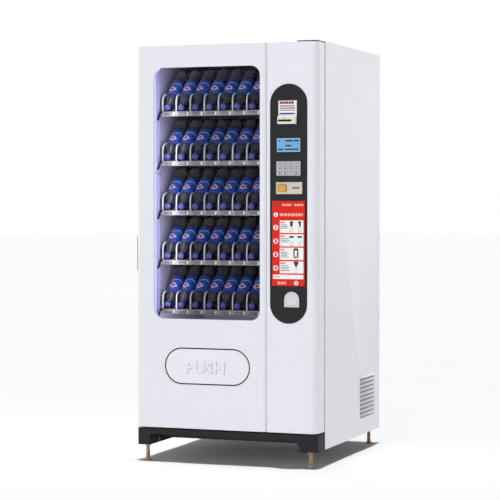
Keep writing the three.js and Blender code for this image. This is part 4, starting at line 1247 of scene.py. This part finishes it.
def handle():
    """The swing handle on the door's left side, with a rolled edge and a lock barrel."""
    refined("lock_handle", HANDLE, 2.0, 4)
    s = span("lock_handle")
    y, z = (s.y0 + s.y1) / 2, (s.z0 + s.z1) / 2
    plug = lathe([(0, 0, 0), (8.5, 0, 0), (8.5, 1.0, 0), (7.6, 1.6, 0), (0, 1.6, 0)], 28)
    key = block(-0.8, 0.8, -4.5, 4.5, 1.0, 4)
    barrel = moved(carved(plug, key), turn(-90, "Y"), shift(s.x0 + 0.4, y, z + 58))
    piece("lock_barrel", barrel, STEEL, "handle")


def machinery():
    """The cooling unit under the cold space, the coin works and the bin."""
    refined("compressor", COMPRESSOR, 3.0, 4)
    frame["nodes"]["condenser"].data.materials.clear()
    frame["nodes"]["condenser"].data.materials.append(FINS)
    refined("condenser_fan", FAN, 0.8, 2)
    refined("power_inlet", BLACK, 0.8, 3)
    refined("door_liner", LINER, 0.7, 2)
    refined("door_gasket", RUBBER, 3.0, 4)
    refined("coin_mech", BLACK, 2.0, 3)
    refined("delivery_bin", BLACK, 0.6, 2)
    c = span("compressor")
    x, y = (c.x0 + c.x1) / 2, (c.y0 + c.y1) / 2
    run = [(x + 60, y, c.z1 - 40), (x + 95, y, c.z1 - 38), (x + 112, y - 4, c.z1 - 52)]
    run += [(x + 118, y - 6, c.z1 - 110), (x + 130, y - 4, c.z0 + 42), (x + 160, y, c.z0 + 34)]
    run += [(x + 380, y + 30, c.z0 + 34), (x + 520, y + 40, c.z0 + 40), (x + 555, y + 40, c.z0 + 70)]
    run.append((x + 560, y + 40, c.z0 + 200))
    piece("discharge_pipe", wire(rounded(run, 18), 4.0, 12), COPPER, "cabinet")
    run = [(x - 40, y + 20, c.z1 - 20), (x - 44, y + 24, c.z1 + 16), (x - 44, y + 60, c.z1 + 24)]
    run += [(x - 40, y + 120, c.z1 + 24), (x - 40, y + 150, c.z1 + 30)]
    piece("suction_pipe", wire(rounded(run, 14), 5.0, 12), COPPER, "cabinet")
    box = block(285, 425, 140, 175, 900, 1250, 3)
    piece("control_box", box, GALVANISED, "cabinet")


def rounded(points, radius, steps=6):
    """A path with its corners replaced by arcs."""
    points = [Vector(p) for p in points]
    path = [points[0]]
    for a, b, c in zip(points, points[1:], points[2:]):
        back, ahead = (a - b), (c - b)
        r = min(radius, back.length * 0.45, ahead.length * 0.45)
        start, end = b + back.normalized() * r, b + ahead.normalized() * r
        for i in range(steps + 1):
            t = i / steps
            path.append(start * (1 - t) ** 2 + b * 2 * t * (1 - t) + end * t ** 2)
    return path + [points[-1]]


# ---- studio ------------------------------------------------------------------------------------
def floor():
    """A broad, flat, pale floor."""
    s = Shader("studio_floor")
    tone = s.blend(s.spread(s.noise(0.6), 0, 1), (0.89, 0.89, 0.89, 1), (0.91, 0.91, 0.91, 1))
    s.set(Base_Color=tone, Roughness=0.9)
    s.bump(s.noise(60.0), 0.00005)
    bm = bmesh.new()
    angles = [math.pi * k / 24 for k in range(48)]
    rings = []
    for r in (2, 12, 60):
        rings.append([bm.verts.new((r * math.cos(a), r * math.sin(a), 0)) for a in angles])
    bm.faces.new(rings[0])
    for low, high in zip(rings, rings[1:]):
        for k in range(48):
            bm.faces.new((low[k], high[k], high[(k + 1) % 48], low[(k + 1) % 48]))
    mesh = bpy.data.meshes.new("studio_floor")
    bm.to_mesh(mesh)
    bm.free()
    mesh.materials.append(s.material)
    thing = bpy.data.objects.new("studio_floor", mesh)
    bpy.context.scene.collection.objects.link(thing)


def world():
    """A white surround, bright low down and dim overhead. The camera sees it plain white."""
    scene = bpy.context.scene
    scene.world = bpy.data.worlds.new("studio")
    scene.world.use_nodes = True
    nodes, links = scene.world.node_tree.nodes, scene.world.node_tree.links
    background = nodes["Background"]
    direction = nodes.new("ShaderNodeTexCoord").outputs["Generated"]
    height = nodes.new("ShaderNodeSeparateXYZ")
    links.new(direction, height.inputs[0])
    ramp = nodes.new("ShaderNodeMapRange")
    for key, value in {"From Min": 0.12, "From Max": 0.5, "To Min": HORIZON, "To Max": ZENITH}.items():
        ramp.inputs[key].default_value = value
    links.new(height.outputs["Z"], ramp.inputs["Value"])
    # The right of the studio is a little darker, so the cabinet's side reads a shade below its front.
    flag = nodes.new("ShaderNodeMapRange")
    for key, value in {"From Min": 0.0, "From Max": 0.8, "To Min": 1.0, "To Max": RIGHT_SHADE}.items():
        flag.inputs[key].default_value = value
    links.new(height.outputs["X"], flag.inputs["Value"])
    dimmed = nodes.new("ShaderNodeMath")
    dimmed.operation = "MULTIPLY"
    links.new(ramp.outputs[0], dimmed.inputs[0])
    links.new(flag.outputs[0], dimmed.inputs[1])
    seen = nodes.new("ShaderNodeLightPath").outputs["Is Camera Ray"]
    mix = nodes.new("ShaderNodeMix")
    links.new(seen, mix.inputs[0])
    links.new(dimmed.outputs[0], mix.inputs[2])
    mix.inputs[3].default_value = BACKDROP
    background.inputs["Color"].default_value = (0.985, 0.985, 1.0, 1)
    links.new(mix.outputs[0], background.inputs["Strength"])


def lamp(name, kind, energy, location, target, **settings):
    data = bpy.data.lights.new(name, kind)
    data.energy = energy
    for key, value in settings.items():
        setattr(data, key, value)
    thing = bpy.data.objects.new(name, data)
    bpy.context.scene.collection.objects.link(thing)
    thing.location = location
    thing.rotation_euler = (Vector(target) - Vector(location)).to_track_quat("-Z", "Y").to_euler()


def lights():
    lamp("overhead", "SUN", 2.5, (0, 0, 6), (0, 0, 0), angle=math.radians(0.6))
    lamp("front_fill", "AREA", 14.0, (0.6, -5.2, 1.6), (0, 0, 1.0), shape="SQUARE", size=2.4)
    # The cabinet's own lamp stands in the front left corner, as tall as the window.
    x0, x1, z0, z1 = window_opening()
    height = (z1 - z0) / 1000 - 0.06
    corner = PLACE @ Vector((x0 + 62, 92, (z0 + z1) / 2))
    wall = PLACE @ Vector((x0 - 30, 175, (z0 + z1) / 2))
    tall = {"shape": "RECTANGLE", "size": 0.02, "size_y": height, "color": (0.93, 0.91, 1.0)}
    lamp("cabinet_lamp", "AREA", 0.85, corner, wall, **tall)
    low, bin_wall = PLACE @ Vector((x0 + 150, 190, z0 - 20)), PLACE @ Vector((x0 + 60, 520, z0 - 80))
    wide = {"shape": "RECTANGLE", "size": 0.5, "size_y": 0.02, "color": (0.95, 0.93, 1.0)}
    lamp("bin_lamp", "AREA", 0.5, low, bin_wall, **wide)


def camera():
    data = bpy.data.cameras.new("camera")
    data.sensor_fit, data.sensor_width, data.lens = "HORIZONTAL", 36.0, LENS
    data.clip_start, data.clip_end = 0.1, 200
    thing = bpy.data.objects.new("camera", data)
    bpy.context.scene.collection.objects.link(thing)
    thing.location = PLACE @ Vector(CAMERA_SPOT)
    thing.rotation_euler = (math.radians(90 - CAMERA_PITCH), 0, math.radians(CAMERA_YAW))
    bpy.context.scene.camera = thing


# ---- everything --------------------------------------------------------------------------------
camera()
floor()
world()
lights()
door()
window()
push_flap()
fascia()
bill_unit()
lcd()
keypad()
coins()
instructions()
coin_return()
interior()
trays()
stock()
coils()
cabinet()
for name in ("foot_front_left", "foot_front_right", "foot_rear_left", "foot_rear_right"):
    foot(name)
handle()
machinery()

bpy.context.scene.view_settings.view_transform = "Standard"


def corners(bounds):
    return [list(corner) for corner in bounds]
